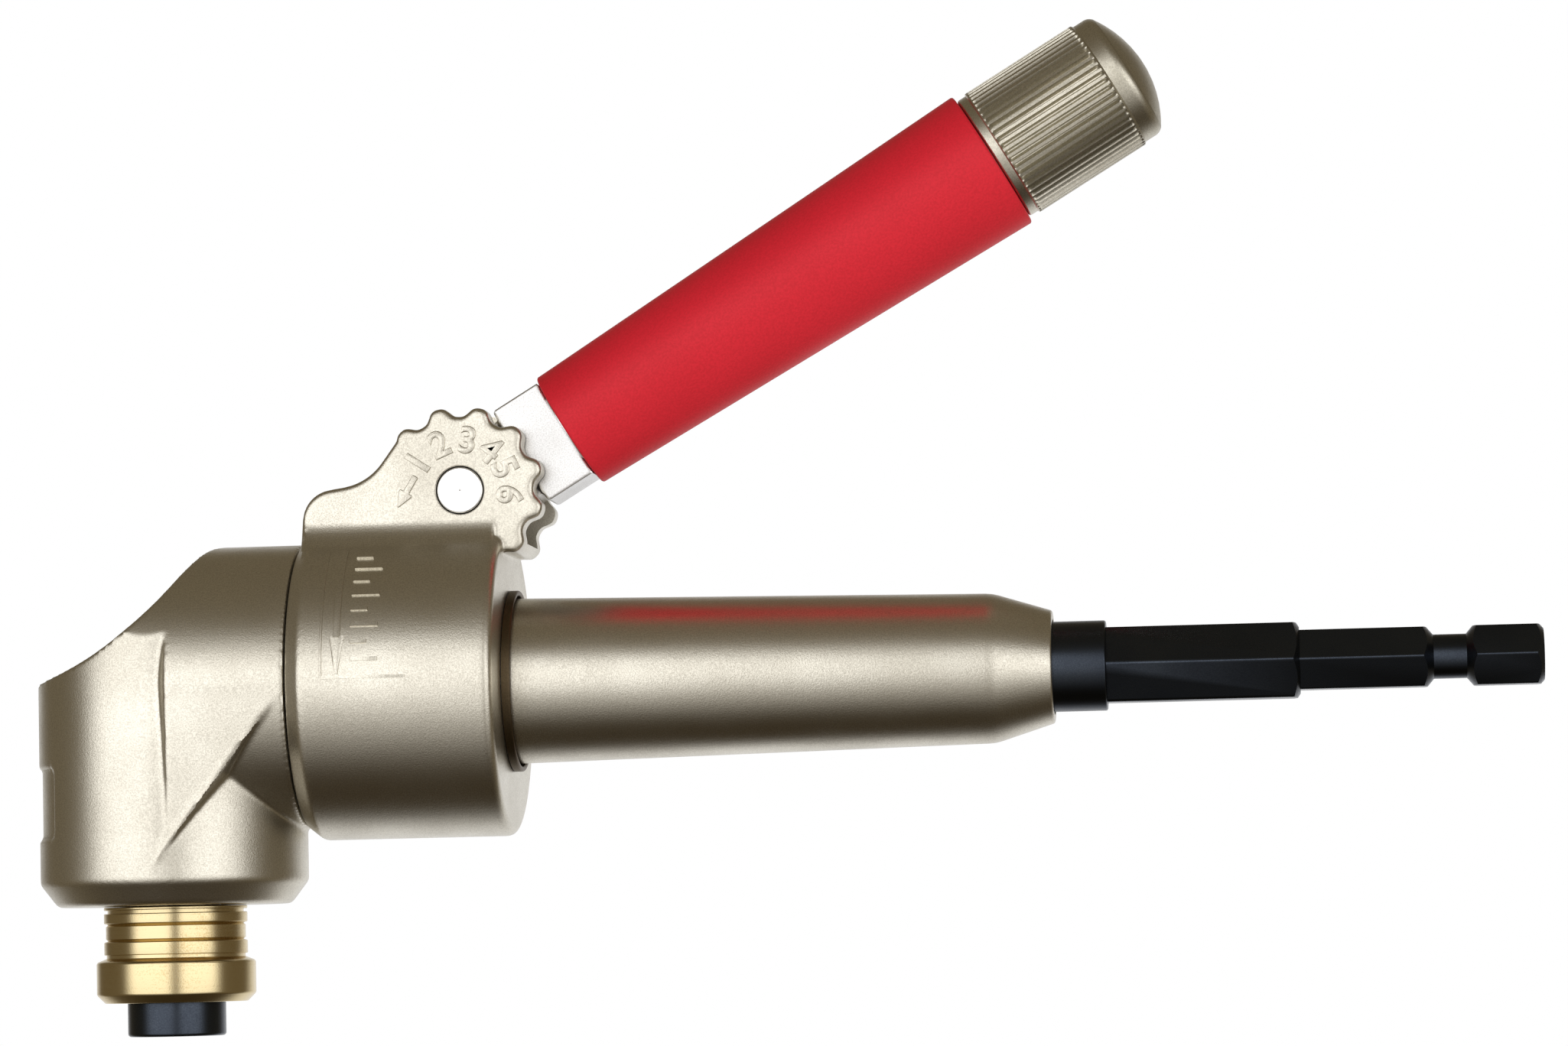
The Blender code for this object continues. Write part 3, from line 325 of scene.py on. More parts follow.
    @staticmethod
    def merge(name: str, parts: Sequence[Object]) -> Object:
        """Join loose parts into one object.

        Args:
            name: The joined object's name.
            parts: The parts, used up.

        Returns:
            The joined object.
        """
        Bench.clear()
        for part in parts:
            part.select_set(True)
        bpy.context.view_layer.objects.active = parts[0]
        bpy.ops.object.join()
        joined = bpy.context.object
        joined.name = name
        Bench.clear()
        return joined

    @staticmethod
    def shade(obj: Object, angle: float = 32) -> None:
        """Shade a piece smooth, with edges sharper than an angle in degrees left crisp."""
        Bench.take(obj)
        bpy.ops.object.shade_smooth_by_angle(angle=math.radians(angle))
        Bench.clear()


def linear(hex_colour: str) -> tuple[float, float, float, float]:
    """Turn an sRGB hex colour into the linear colour that a shader takes.

    Args:
        hex_colour: Six hex digits with a leading mark.

    Returns:
        Linear red, green, blue and an alpha of one.
    """
    levels = [int(hex_colour[start:start + 2], 16) / 255 for start in (1, 3, 5)]
    return (*(v / 12.92 if v <= 0.04045 else ((v + 0.055) / 1.055) ** 2.4 for v in levels), 1.0)


def add_node(tree: Tree, kind: str, inputs: dict, **settings: object) -> bpy.types.Node:
    """Add a shader node.

    Args:
        tree: The node tree it goes into.
        kind: Blender's name for the node, without its leading ShaderNode.
        inputs: A value, or an output to link, for each input by name or number.
        settings: The node's own options.

    Returns:
        The new node.
    """
    node = tree.nodes.new(f"ShaderNode{kind}")
    for option, value in settings.items():
        setattr(node, option, value)
    for key, value in inputs.items():
        if isinstance(value, Socket):
            tree.links.new(value, node.inputs[key])
        else:
            node.inputs[key].default_value = value
    return node


@dataclass(frozen=True)
class Finish:
    """A metal or coated surface with a fine grain, slow changes of tone and, where asked, painted shade in the grain's
    hollows.
    """

    name: str
    colour: str
    shade: str                      # the colour where the tone is deepest
    metallic: float = 1.0
    roughness: float = 0.4
    spread: float = 0.05            # roughness varies by this much either way
    grain: float = 0.22 * MM        # size of the finest bumps
    depth: float = 0.004 * MM       # height of those bumps
    cloud: float = 9 * MM           # size of the slow changes
    nicks: float = 0.0              # share of the surface with small marks
    sheen: float = 0.5              # specular level of what is not metal
    speckle: float = 0.0            # painted shade: how much darker the hollows of the grain are drawn

    def material(self) -> bpy.types.Material:
        """Make the material, or find it if it was made before."""
        made = bpy.data.materials.get(self.name)
        if made is None:
            made = bpy.data.materials.new(self.name)
            made.use_nodes = True
            self.lay(made.node_tree, made.node_tree.nodes["Principled BSDF"])
        return made

    def lay(self, tree: Tree, shader: bpy.types.Node) -> None:
        """Lay the finish's nodes.

        Args:
            tree: The material's nodes.
            shader: Its surface shader.
        """
        coords = add_node(tree, "TexCoord", {}).outputs["Object"]
        fine = self.fine_height(tree, coords)
        slow = add_node(tree, "TexNoise", {"Vector": coords, "Scale": 1 / self.cloud, "Detail": 3.0})
        mixed = add_node(tree, "Math", {0: slow.outputs["Fac"], 1: fine}, operation="ADD")
        tone = add_node(tree, "MapRange", {"Value": mixed.outputs[0], "From Min": 0.7, "From Max": 1.3})
        colour = add_node(tree, "Mix", {0: tone.outputs[0], 6: linear(self.shade), 7: linear(self.colour)},
                          data_type="RGBA").outputs[2]
        # Painted shade: the colour is darkened where the grain's bump is lowest, in its hollows
        if self.speckle:
            hollow = add_node(tree, "MapRange", {"Value": fine, "From Min": 0.6, "From Max": 0.38,
                                                           "To Max": self.speckle})
            colour = add_node(tree, "Mix", {0: hollow.outputs[0], 6: colour, 7: linear("#000000")},
                              data_type="RGBA").outputs[2]
        if self.nicks:
            colour = self.nicked(tree, coords, colour)
        rough = add_node(tree, "MapRange", {
            "Value": mixed.outputs[0], "From Min": 0.7, "From Max": 1.3,
            "To Min": self.roughness + self.spread, "To Max": self.roughness - self.spread})
        bump = add_node(tree, "Bump", {"Height": fine, "Distance": self.depth, "Strength": 1.0})
        tree.links.new(colour, shader.inputs["Base Color"])
        tree.links.new(rough.outputs[0], shader.inputs["Roughness"])
        tree.links.new(bump.outputs[0], shader.inputs["Normal"])
        shader.inputs["Metallic"].default_value = self.metallic
        shader.inputs["Specular IOR Level"].default_value = self.sheen

    def fine_height(self, tree: Tree, coords: Socket) -> Socket:
        """Height of the finest texture, here the even grain that blasting leaves."""
        noise = add_node(tree, "TexNoise", {"Vector": coords, "Scale": 1 / self.grain, "Detail": 2.0,
                                                      "Roughness": 0.6})
        return noise.outputs["Fac"]

    def nicked(self, tree: Tree, coords: Socket, colour: Socket) -> Socket:
        """Scatter small dark marks of handling over a colour.

        Args:
            tree: The material's nodes.
            coords: Place on the object.
            colour: The colour without marks.

        Returns:
            The marked colour.
        """
        spots = add_node(tree, "TexNoise", {"Vector": coords, "Scale": 1 / (4 * self.grain), "Detail": 1.0})
        low = 0.66 - self.nicks
        share = add_node(tree, "MapRange", {"Value": spots.outputs["Fac"], "From Min": low,
                                                      "From Max": low + 0.05, "To Max": 0.5})
        return add_node(tree, "Mix", {0: share.outputs[0], 6: colour, 7: linear("#6E675C")},
                        data_type="RGBA").outputs[2]


@dataclass(frozen=True)
class TurnedFinish(Finish):
    """A lathe-turned surface: fine rings round the piece's axis over the grain."""

    axis: tuple[float, float, float] = (1, 0, 0)
    pitch: float = 0.18 * MM

    def fine_height(self, tree: Tree, coords: Socket) -> Socket:
        """Height of the tool rings, broken up by a little grain."""
        along = add_node(tree, "VectorMath", {0: coords, 1: self.axis}, operation="DOT_PRODUCT")
        line = add_node(tree, "CombineXYZ", {0: along.outputs["Value"]})
        rings = add_node(tree, "TexNoise", {"Vector": line.outputs[0], "Scale": 1 / self.pitch,
                                                      "Detail": 2.0})
        grain = add_node(tree, "TexNoise", {"Vector": coords, "Scale": 1 / self.grain, "Detail": 2.0})
        return add_node(tree, "Math", {0: rings.outputs["Fac"], 1: 0.6, 2: grain.outputs["Fac"]},
                        operation="MULTIPLY_ADD").outputs[0]


# Die-cast zinc, bead blasted and nickel plated: a warm satin metal with a sparkling fine grain, its hollows darkened
# with painted shade
NICKEL = Finish("blasted_nickel", "#E3DED1", "#D6D0C2", roughness=0.33, grain=0.15 * MM, depth=0.018 * MM,
                speckle=0.14)
# The same plating on the turned cap: a little rougher from its knurl, with painted shade in the grain's hollows
CAP_NICKEL = Finish("cap_nickel", "#DDD8CA", "#C9C3B2", roughness=0.36, grain=0.16 * MM, depth=0.016 * MM,
                    speckle=0.12)
# Black oxide on milled steel: near black with a cold blue sheen along its edges
BLACK_OXIDE = Finish("oxidised_steel", "#454B54", "#373C45", roughness=0.30, grain=0.16 * MM, depth=0.003 * MM,
                     cloud=6 * MM)
# Machined brass, tumbled and lacquered: a sandy gold with dark lines of reflection
BRASS = TurnedFinish("lacquered_brass", "#D7C59B", "#BDA06A", roughness=0.27, grain=0.16 * MM, depth=0.005 * MM,
                     axis=(0, 0, 1), pitch=0.3 * MM, cloud=5 * MM)
# Aluminium tube with a satin red coat: even, faintly pebbled, with soft reflections and faint painted shade in the
# pebbles' hollows
RED_COAT = Finish("satin_red_coat", "#F02B3C", "#E52736", metallic=0.05, roughness=0.5, spread=0.03,
                  grain=0.25 * MM, depth=0.004 * MM, cloud=14 * MM, sheen=0.25, speckle=0.05)
# Zinc plated steel, tumbled: pale, with fine pits whose hollows are darkened with painted shade
LEVER_STEEL = Finish("tumbled_steel", "#E6E5E4", "#D8D6D4", roughness=0.33, grain=0.15 * MM, depth=0.014 * MM,
                     speckle=0.12)
# Ground and polished pin face: the brightest metal here
PIN_STEEL = Finish("polished_pin", "#E6E5E4", "#DEDDDC", roughness=0.16, spread=0.02, grain=0.3 * MM,
                   depth=0.001 * MM)
# Blued spring steel of the retaining ring: dark brown black with a dull sheen
SPRING_STEEL = Finish("blued_spring_steel", "#6E5F4A", "#584C3A", roughness=0.42, grain=0.12 * MM, depth=0.002 * MM)
# Ground bearing steel of washers, clips, gears and ball, hidden inside: grey with fine rings
GROUND_STEEL = TurnedFinish("ground_steel", "#A9A8A6", "#8E8D8C", roughness=0.28, depth=0.002 * MM, axis=(1, 0, 0))
# Oil-soaked sintered bronze of the bushings: brown and porous
BRONZE = Finish("sintered_bronze", "#A07A4C", "#7E5C36", roughness=0.5, grain=0.12 * MM, depth=0.006 * MM,
                nicks=0.05)
# Moulded nitrile rubber of the cap's seal: soft black
SEAL_RUBBER = Finish("nitrile_rubber", "#262626", "#1C1C1C", metallic=0.0, roughness=0.7, depth=0.002 * MM)


@dataclass(frozen=True)
class Layout:
    """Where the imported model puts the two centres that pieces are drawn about."""

    gear_centre: Vector
    pin: Vector
    handle: Vector

    @staticmethod
    def from_frame() -> "Layout":
        """Read the gear centre, the pin and the handle's direction from the joints."""
        return Layout(Vector(joint("output_spin")["pos_m"]), Vector(joint("lever_fold")["pos_m"]),
                      Vector(joint("cap_turn")["axis"]))

    @property
    def at_gears(self) -> Matrix:
        """Placing of what is drawn about the gear centre."""
        return Matrix.Translation(self.gear_centre)

    @property
    def at_pin(self) -> Matrix:
        """Placing of what is drawn about the pin, with +X along the handle."""
        lean = math.atan2(self.handle.z, self.handle.x)
        return Matrix.Translation(self.pin) @ Matrix.Rotation(-lean, 4, "Y")

    @property
    def pin_from_gears(self) -> Vector:
        """The pin's place from the gear centre."""
        return self.pin - self.gear_centre


def finish_piece(obj: Object, finish: Finish, body: str, nodes: Sequence[str] = ()) -> None:
    """Dress a finished piece and hang it on its body.

    Args:
        obj: The piece, in its place.
        finish: Its surface.
        body: Name of the body it moves with.
        nodes: CAD nodes that it stands for.
    """
    obj.data.materials.clear()
    obj.data.materials.append(finish.material())
    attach(obj, body)
    if nodes:
        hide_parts(*nodes)
    log.info("%s: %d faces on %s", obj.name, len(obj.data.polygons), body)


@dataclass
class ElbowHead:
    """The cast elbow: an upright cylinder under a level one, with a scooped back and flat cheeks."""

    layout: Layout
    level_radius: float = 15.384 * MM
    upright_radius: float = 14.484 * MM
    reach: float = 15.0 * MM               # gear centre to the shoulder under the collar
    neck_radius: float = 12.884 * MM
    neck_end: float = 20.0 * MM
    foot: float = 23.4 * MM                # down from the gear centre
    foot_chamfer: tuple[float, float] = (1.9 * MM, 2.5 * MM)
    foot_round: float = 0.9 * MM
    cone: tuple[float, float] = (1.0 * MM, 1.2 * MM)   # of the level cylinder's left end
    skin_grid: float = 1.18 * SKIN         # the finest that stays under 200,000 triangles
    scoop_top: float = 5.3 * MM            # where the sloped back meets the top
    scoop_angle: float = math.radians(56)
    scoop_length: float = 14.9 * MM        # to where the slope's two straight lines would meet
    scoop_end_angle: float = math.radians(12)
    scoop_radius: float = 24 * MM
    scoop_round: float = 1.3 * MM
    scoop_top_round: float = 2.4 * MM
    cheek_left: float = 2.2 * MM
    cheek_draft: float = math.radians(3.4)
    cheek_lean: float = 6.0 * MM           # the crease's wall spreads this much over that depth at its top
    cheek_fade: float = 13 * MM            # and this much at its foot, where it runs out flat
    cheek_foot: float = 4 * MM             # height of the crease's end over the ridge's foot
    ridge_top: tuple[float, float] = (14.2 * MM, -1.6 * MM)
    ridge_foot: tuple[float, float] = (0.3 * MM, -19.5 * MM)
    ridge_draft: float = 0.6 * MM
    ridge_runout: float = 0.06 * MM        # what is left of the ridge at its foot
    cheek_depth: float = 7.0 * MM          # how far the cheeks run into the head
    panel_top: float = 8.3 * MM            # of the bare recess in the nose, down from the gear centre
    panel_height: float = 7.9 * MM
    panel_half_width: float = 9.1 * MM
    panel_depth: float = 0.35 * MM
    chamber_radius: float = 11.684 * MM
    chamber_start: float = 4.8 * MM
    chamber_end: float = 16.5 * MM
    bushing_bore: float = 7.7 * MM

    def scoop(self) -> Object:
        """Shape that the sloped back is cut with: a straight slope that runs out in a hollow."""
        clear = 3 * self.level_radius
        top = Vector((self.scoop_top, self.level_radius))
        slope = Vector((-math.cos(self.scoop_angle), -math.sin(self.scoop_angle)))
        bend = top + slope * self.scoop_length
        nose = -self.upright_radius - OVERLAP
        nose_height = bend.y + (nose - bend.x) * math.tan(self.scoop_end_angle)
        lip, below = self.level_radius + PROUD, nose_height - 3 * MM
        outline = Bench.rounded([
            (clear, clear), (clear, lip), (top.x, lip, self.scoop_top_round), (bend.x, bend.y, self.scoop_radius),
            (nose, nose_height, self.scoop_round), (nose, below), (-clear, below), (-clear, clear)])
        return Bench.place(Bench.plate("scoop", outline, -clear, clear), Along.SIDE)

    def cheek(self, side: int) -> Object:
        """Flat cheek on one side, drafted down to the slanting ridge.

        Args:
            side: 1 for the side of -Y, -1 for the side of +Y.

        Returns:
            The cheek, ready to be joined on.
        """
        top = self.level_radius + PROUD
        inner = top - self.cheek_depth
        lean = Vector((self.ridge_top[1] - self.ridge_foot[1], self.ridge_foot[0] - self.ridge_top[0]))
        lean = lean.normalized() * self.ridge_draft
        left_foot = self.ridge_foot[1] + self.cheek_foot
        outline = [(self.cheek_left, 0), (self.reach, 0), (self.reach, self.ridge_top[1]), self.ridge_top,
                   self.ridge_foot, (self.cheek_left, left_foot)]
        block = Bench.plate("cheek", [Vector(point) for point in outline], inner, top)
        moves = [((self.cheek_left, 0, inner), (-self.cheek_lean, 0, 0)),
                 ((self.cheek_left, left_foot, inner), (-self.cheek_fade, 0, 0)),
                 ((*self.ridge_top, inner), (*lean, 0)), ((*self.ridge_foot, inner), (*lean, 0))]
        for corner in outline:
            drop = corner[1] * math.tan(self.cheek_draft)
            if corner == self.ridge_foot:
                drop = self.upright_radius + self.ridge_runout - top
            moves.append(((*corner, top), (0, 0, drop)))
        for corner, move in moves:
            Bench.pick(block, lambda co, corner=corner: (co - Vector(corner)).length < WELD)
            bpy.ops.transform.translate(value=move)
        Bench.clear()
        if side < 0:
            block.scale = (1, 1, -1)
            Bench.place(block)
            Bench.heal(block)
        return Bench.place(block, Along.SIDE)

    def nose_panel(self) -> Object:
        """Shallow plug that leaves the bare recess round the nose."""
        low, high = self.panel_top, self.panel_top + self.panel_height
        half = self.panel_half_width
        outline = Bench.rounded([(low, -half, MM), (low, half, MM), (high, half, MM), (high, -half, MM)])
        plug = Bench.place(Bench.plate("panel", outline, -2 * self.level_radius, -5 * MM), Along.DRIVE)
        floor = self.upright_radius - self.panel_depth
        core = Bench.rod("core", [(0, floor), (2 * high, floor)])
        return Bench.combine(plug, Bench.place(core, Along.DOWN), Cut.TAKE)

    def build(self) -> Object:
        """Model the head.

        Returns:
            The finished casting, in place.
        """
        lift = self.level_radius + MM
        foot_in, foot_up = self.foot_chamfer
        head = Bench.place(Bench.rod("elbow_head", [
            (-lift, self.upright_radius), (self.foot - foot_up, self.upright_radius, self.foot_round),
            (self.foot, self.upright_radius - foot_in, self.foot_round)]), Along.DOWN)
        wide = 2 * self.level_radius
        arch = [Vector((2 * self.foot, -wide)), Vector((2 * self.foot, wide)), Vector((0, wide)),
                Vector((0, self.level_radius))]
        steps = FACETS // 2
        for step in range(1, steps):
            angle = math.pi * step / steps
            arch.append(Vector((-self.level_radius * math.sin(angle), self.level_radius * math.cos(angle))))
        arch += [Vector((0, -self.level_radius)), Vector((0, -wide))]
        Bench.combine(head, Bench.place(Bench.plate("arch", arch, -wide, wide), Along.DRIVE), Cut.KEEP)
        level = Bench.rod("level", [
            (self.cheek_left - self.cone[0], self.level_radius - self.cone[1]), (self.cheek_left, self.level_radius),
            (self.reach, self.level_radius), (self.reach, self.neck_radius), (self.neck_end, self.neck_radius)])
        Bench.combine(head, Bench.place(level, Along.DRIVE), Cut.JOIN)
        for side in (1, -1):
            Bench.combine(head, self.cheek(side), Cut.JOIN)
        Bench.combine(head, self.scoop(), Cut.TAKE)
        Bench.combine(head, self.nose_panel(), Cut.TAKE)
        Bench.skin(head, self.skin_grid, 3)
        drive = Bench.rod("drive_chamber", [
            (self.chamber_start, self.chamber_radius, MM), (self.neck_end + MM, self.chamber_radius)], 96)
        output = Bench.rod("output_chamber", [
            (self.chamber_start, self.chamber_radius, MM), (self.chamber_end, self.chamber_radius),
            (self.chamber_end, self.bushing_bore), (self.foot + MM, self.bushing_bore)], 96)
        hollow = Bench.combine(Bench.place(drive, Along.DRIVE), Bench.place(output, Along.DOWN), Cut.JOIN)
        Bench.combine(head, hollow, Cut.TAKE)
        Bench.shade(head)
        Bench.place(head, at=self.layout.at_gears)
        finish_piece(head, NICKEL, "housing", ["gear_head"])
        return head


@dataclass
class Barrel:
    """The drafted tube with its tapered nose, and the dark ring that holds the collar on it."""

    layout: Layout
    spigot_start: float = 16.5 * MM
    spigot_radius: float = 11.384 * MM
    spigot_end: float = 20.3 * MM
    neck_radius: float = 12.884 * MM
    shoulder: float = 35.6 * MM
    collar_end: float = 37.4 * MM
    radius: float = 8.95 * MM
    end_radius: float = 8.05 * MM
    end: float = 89.6 * MM
    nose_end: float = 96.0 * MM
    nose_radius: float = 6.05 * MM
    bore: float = 5.15 * MM
    seat_bore: float = 6.4 * MM
    seat: float = 89.4 * MM
    rear_bore: float = 7.4 * MM
    rear_seat: float = 21.8 * MM
    ring_length: float = 0.9 * MM
    ring_radius: float = 9.8 * MM
    ring_gap: float = 0.1 * MM             # to the collar
    ring_play: float = 0.3 * MM            # round the tube
    ring_round: float = 0.2 * MM
    taper_round: float = 5 * MM
    nose_round: float = 0.35 * MM

    def build(self) -> list[Object]:
        """Model the tube and the ring.

        Returns:
            Both pieces, in place.
        """
        tube = Bench.turn("barrel", [
            (self.spigot_start, self.rear_bore), (self.spigot_start, self.spigot_radius),
            (self.spigot_end, self.spigot_radius), (self.spigot_end, self.neck_radius),
            (self.shoulder, self.neck_radius), (self.shoulder, self.radius), (self.collar_end, self.radius),
            (self.end, self.end_radius, self.taper_round), (self.nose_end, self.nose_radius, self.nose_round),
            (self.nose_end, self.bore), (self.seat, self.bore), (self.seat, self.seat_bore),
            (self.rear_seat, self.seat_bore), (self.rear_seat, self.rear_bore)])
        Bench.shade(tube)
        Bench.place(tube, Along.DRIVE, self.layout.at_gears)
        finish_piece(tube, NICKEL, "housing", ["barrel_tube"])
        start, bore = self.collar_end + self.ring_gap, self.radius + self.ring_play
        face = start + self.ring_length
        ring = Bench.turn("retaining_ring", [(start, bore), (start, self.ring_radius),
                                             (face, self.ring_radius, self.ring_round), (face, bore, self.ring_round)])
        Bench.shade(ring)
        Bench.place(ring, Along.DRIVE, self.layout.at_gears)
        finish_piece(ring, SPRING_STEEL, "housing", ["collar_ring"])
        return [tube, ring]


@dataclass
class DriveShank:
    """The black shaft: two journals inside, then a large hex, a small hex, a ball groove and a hex tip."""

    layout: Layout
    start: float = 7.0 * MM
    seat_radius: float = 3.6 * MM
    seat_end: float = 14.3 * MM
    journal_radius: float = 4.6 * MM
    journal_end: float = 21.8 * MM
    waist_radius: float = 4.3 * MM
    waist_end: float = 80.2 * MM
    radius: float = 4.85 * MM
    round_end: float = 101.7 * MM
    large_flats: float = 8.0 * MM
    large_end: float = 122.3 * MM
    small_flats: float = 6.35 * MM
    small_end: float = 135.4 * MM
    groove_radius: float = 2.375 * MM
    groove_slope: float = 1.1 * MM
    groove_end: float = 141.1 * MM
    end: float = 148.2 * MM
    tip_chamfer: tuple[float, float] = (0.8 * MM, 0.9 * MM)
    edge_round: float = 0.14 * MM

    def hexagon(self, name: str, flats: float, start: float, end: float, lathe: Outline) -> Object:
        """Length of hex bar with its ends turned on a lathe.

        Args:
            name: Name of the new object.
            flats: Size across flats.
            start: Where it starts along the shaft.
            end: Where it ends.
            lathe: Corners of the turned shape that trims it.

        Returns:
            The trimmed bar, along +Z, with one corner on the -Y side once it is placed.
        """
        Bench.clear()
        bpy.ops.mesh.primitive_cylinder_add(vertices=6, radius=flats / math.sqrt(3), depth=end - start,
                                            location=(0, 0, (start + end) / 2))
        bar = bpy.context.object
        bar.name = name
        Bench.place(bar)
        Bench.edit(bar)
        bpy.ops.mesh.select_mode(type="EDGE")
        bpy.ops.object.mode_set(mode="OBJECT")
        for edge in bar.data.edges:
            low, high = (bar.data.vertices[index].co.z for index in edge.vertices)
            edge.select = abs(high - low) > WELD
        bpy.ops.object.mode_set(mode="EDIT")
        bpy.ops.mesh.bevel(offset=self.edge_round, segments=3, affect="EDGES")
        Bench.clear()
        return Bench.combine(bar, Bench.rod(name + "_lathe", lathe, 96), Cut.KEEP)

    def build(self) -> Object:
        """Model the shaft.

        Returns:
            The shaft, in place.
        """
        large, small = self.large_flats / math.sqrt(3), self.small_flats / math.sqrt(3)
        inside = self.end - 2 * MM
        groove_foot, groove_rise = self.small_end + self.groove_slope, self.groove_end - self.groove_slope
        shaft = Bench.rod("shank", [
            (self.start, self.seat_radius), (self.seat_end, self.seat_radius), (self.seat_end, self.journal_radius),
            (self.journal_end, self.journal_radius), (self.journal_end, self.waist_radius),
            (self.waist_end, self.waist_radius), (self.waist_end, self.radius),
            (self.round_end, self.radius, 0.25 * MM), (self.round_end, self.groove_radius),
            (inside, self.groove_radius)], 96)
        bars = [
            ("large_hex", self.large_flats, self.round_end - 0.2 * MM, self.large_end,
             [(self.round_end - MM, large - 0.3 * MM), (self.round_end + 0.4 * MM, large),
              (self.large_end - 0.7 * MM, large), (self.large_end, small - 0.1 * MM)]),
            ("small_hex", self.small_flats, self.large_end - MM, groove_foot,
             [(self.large_end - 2 * MM, small), (self.small_end, small), (groove_foot, self.groove_radius)]),
            ("hex_tip", self.small_flats, groove_rise, self.end,
             [(groove_rise, self.groove_radius), (self.groove_end, small),
              (self.end - self.tip_chamfer[0], small), (self.end, small - self.tip_chamfer[1])]),
        ]
        for name, flats, start, end, lathe in bars:
            Bench.combine(shaft, self.hexagon(name, flats, start, end, lathe), Cut.JOIN)
        Bench.heal(shaft)
        Bench.shade(shaft, 24)
        Bench.place(shaft, Along.DRIVE, self.layout.at_gears)
        finish_piece(shaft, BLACK_OXIDE, "drive", ["drive_shank"])
        return shaft


@dataclass
class QuickRelease:
    """The output spindle with its hex socket, and the brass sleeve that lets a bit go."""

    layout: Layout
    top: float = 7.0 * MM                  # all sizes down from the gear centre
    seat_radius: float = 3.6 * MM
    seat_end: float = 14.3 * MM
    journal_radius: float = 4.9 * MM
    journal_end: float = 23.4 * MM
    radius: float = 5.3 * MM
    clip_groove: tuple[float, float] = (33.2 * MM, 33.9 * MM)
    clip_radius: float = 4.75 * MM
    end: float = 37.5 * MM
    socket_flats: float = 6.5 * MM
    socket_depth: float = 19.9 * MM
    ball_level: float = 27.6 * MM
    ball_hole: float = 1.55 * MM
    sleeve_top: float = 23.5 * MM
    sleeve_end: float = 33.84 * MM
    upper_radius: float = 7.75 * MM
    waist_radius: float = 7.55 * MM
    band_radius: float = 8.6 * MM
    band_edge: float = 0.9 * MM
    wall: float = 1.6 * MM                 # of the band
    play: float = 0.3 * MM                 # round the spindle
    recess: float = 6.8 * MM               # radius of the spring's room
    shelf: float = 0.6 * MM                # thickness over it
    inside: tuple[float, ...] = (25.6 * MM, 28.0 * MM, 28.4 * MM)   # where that room and the land end
    lines: tuple[float, ...] = (0.5 * MM, 1.9 * MM, 3.6 * MM)       # turned lines, down from the sleeve's top
    neck: tuple[float, ...] = (5.15 * MM, 5.5 * MM, 5.95 * MM)      # and the neck over the band
    line: float = 0.18 * MM                # half width of a turned line
    line_depth: float = 0.25 * MM
    top_line_depth: float = 0.4 * MM
    edge: float = 0.1 * MM
    spring_foot: float = 32.1 * MM
    spring_pressed: float = 0.4            # share of its length that is left

    def spindle(self) -> Object:
        """Model the spindle: turned outside, hexagonal inside, with the ball's hole."""
        mouth = self.socket_flats / math.sqrt(3)
        body = Bench.rod("spindle", [
            (self.top, self.seat_radius), (self.seat_end, self.seat_radius),
            (self.seat_end, self.journal_radius), (self.journal_end, self.journal_radius),
            (self.journal_end + 0.3 * MM, self.radius), (self.clip_groove[0], self.radius),
            (self.clip_groove[0], self.clip_radius), (self.clip_groove[1], self.clip_radius),
            (self.clip_groove[1], self.radius), (self.end, self.radius, 0.35 * MM)], 128)
        Bench.clear()
        bpy.ops.mesh.primitive_cylinder_add(vertices=6, radius=mouth, depth=2 * self.socket_depth,
                                            location=(0, 0, self.end))
        socket = Bench.place(bpy.context.object)
        funnel = Bench.rod("funnel", [(self.end - 0.6 * MM, mouth - 0.3 * MM),
                                      (self.end + 0.6 * MM, mouth + 0.9 * MM)], 96)
        Bench.combine(socket, funnel, Cut.JOIN)
        Bench.combine(body, socket, Cut.TAKE)
        hole = Bench.rod("ball_hole", [(MM, self.ball_hole), (2 * self.radius, self.ball_hole)], 48)
        Bench.place(hole, Along.DRIVE, Matrix.Translation((0, 0, self.ball_level)))
        Bench.combine(body, hole, Cut.TAKE)
        Bench.heal(body)
        Bench.shade(body)
        return Bench.place(body, Along.DOWN, self.layout.at_gears)

    def sleeve(self) -> Object:
        """Model the sleeve: three turned rings over a broad grip band, open inside for ball and spring."""
        top, end, line, rim = self.sleeve_top, self.sleeve_end, self.line, self.edge
        upper, waist, band, land = self.upper_radius, self.waist_radius, self.band_radius, self.radius + self.play
        shelf, room, depth = top + self.shelf, band - self.wall, self.line_depth
        first, second, third = (top + place for place in self.lines)
        neck_start, neck_end, band_start = (top + place for place in self.neck)
        recess_end, land_start, land_end = self.inside
        sleeve = Bench.turn("sleeve", [
            (top, land), (shelf, land), (shelf, self.recess), (recess_end, self.recess), (land_start, land),
            (land_end, land), (land_end, room), (end, room), (end, band - self.band_edge, 0.2 * MM),
            (end - self.band_edge, band, 0.4 * MM), (band_start, band, 0.35 * MM), (neck_end, upper - depth),
            (neck_start, upper - depth), (neck_start, upper, rim), (third + line, upper, rim),
            (third, waist - depth), (third - line, waist), (second + line, waist), (second, waist - depth),
            (second - line, upper, rim), (first + line, upper, rim), (first + line, upper - self.top_line_depth),
            (first - line, upper - self.top_line_depth), (first - line, upper, rim), (top, upper, rim)])
        Bench.shade(sleeve)
        return Bench.place(sleeve, Along.DOWN, self.layout.at_gears)

    def spring(self) -> Object:
        """Take the coil spring over as one smooth mesh."""
        coil = bpy.data.objects.new("return_spring", frame["nodes"]["sleeve_spring"].data.copy())
        bpy.context.scene.collection.objects.link(coil)
        Bench.heal(coil)
        Bench.shade(coil, 60)
        finish_piece(coil, GROUND_STEEL, "output", ["sleeve_spring"])
        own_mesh(coil)
        return coil

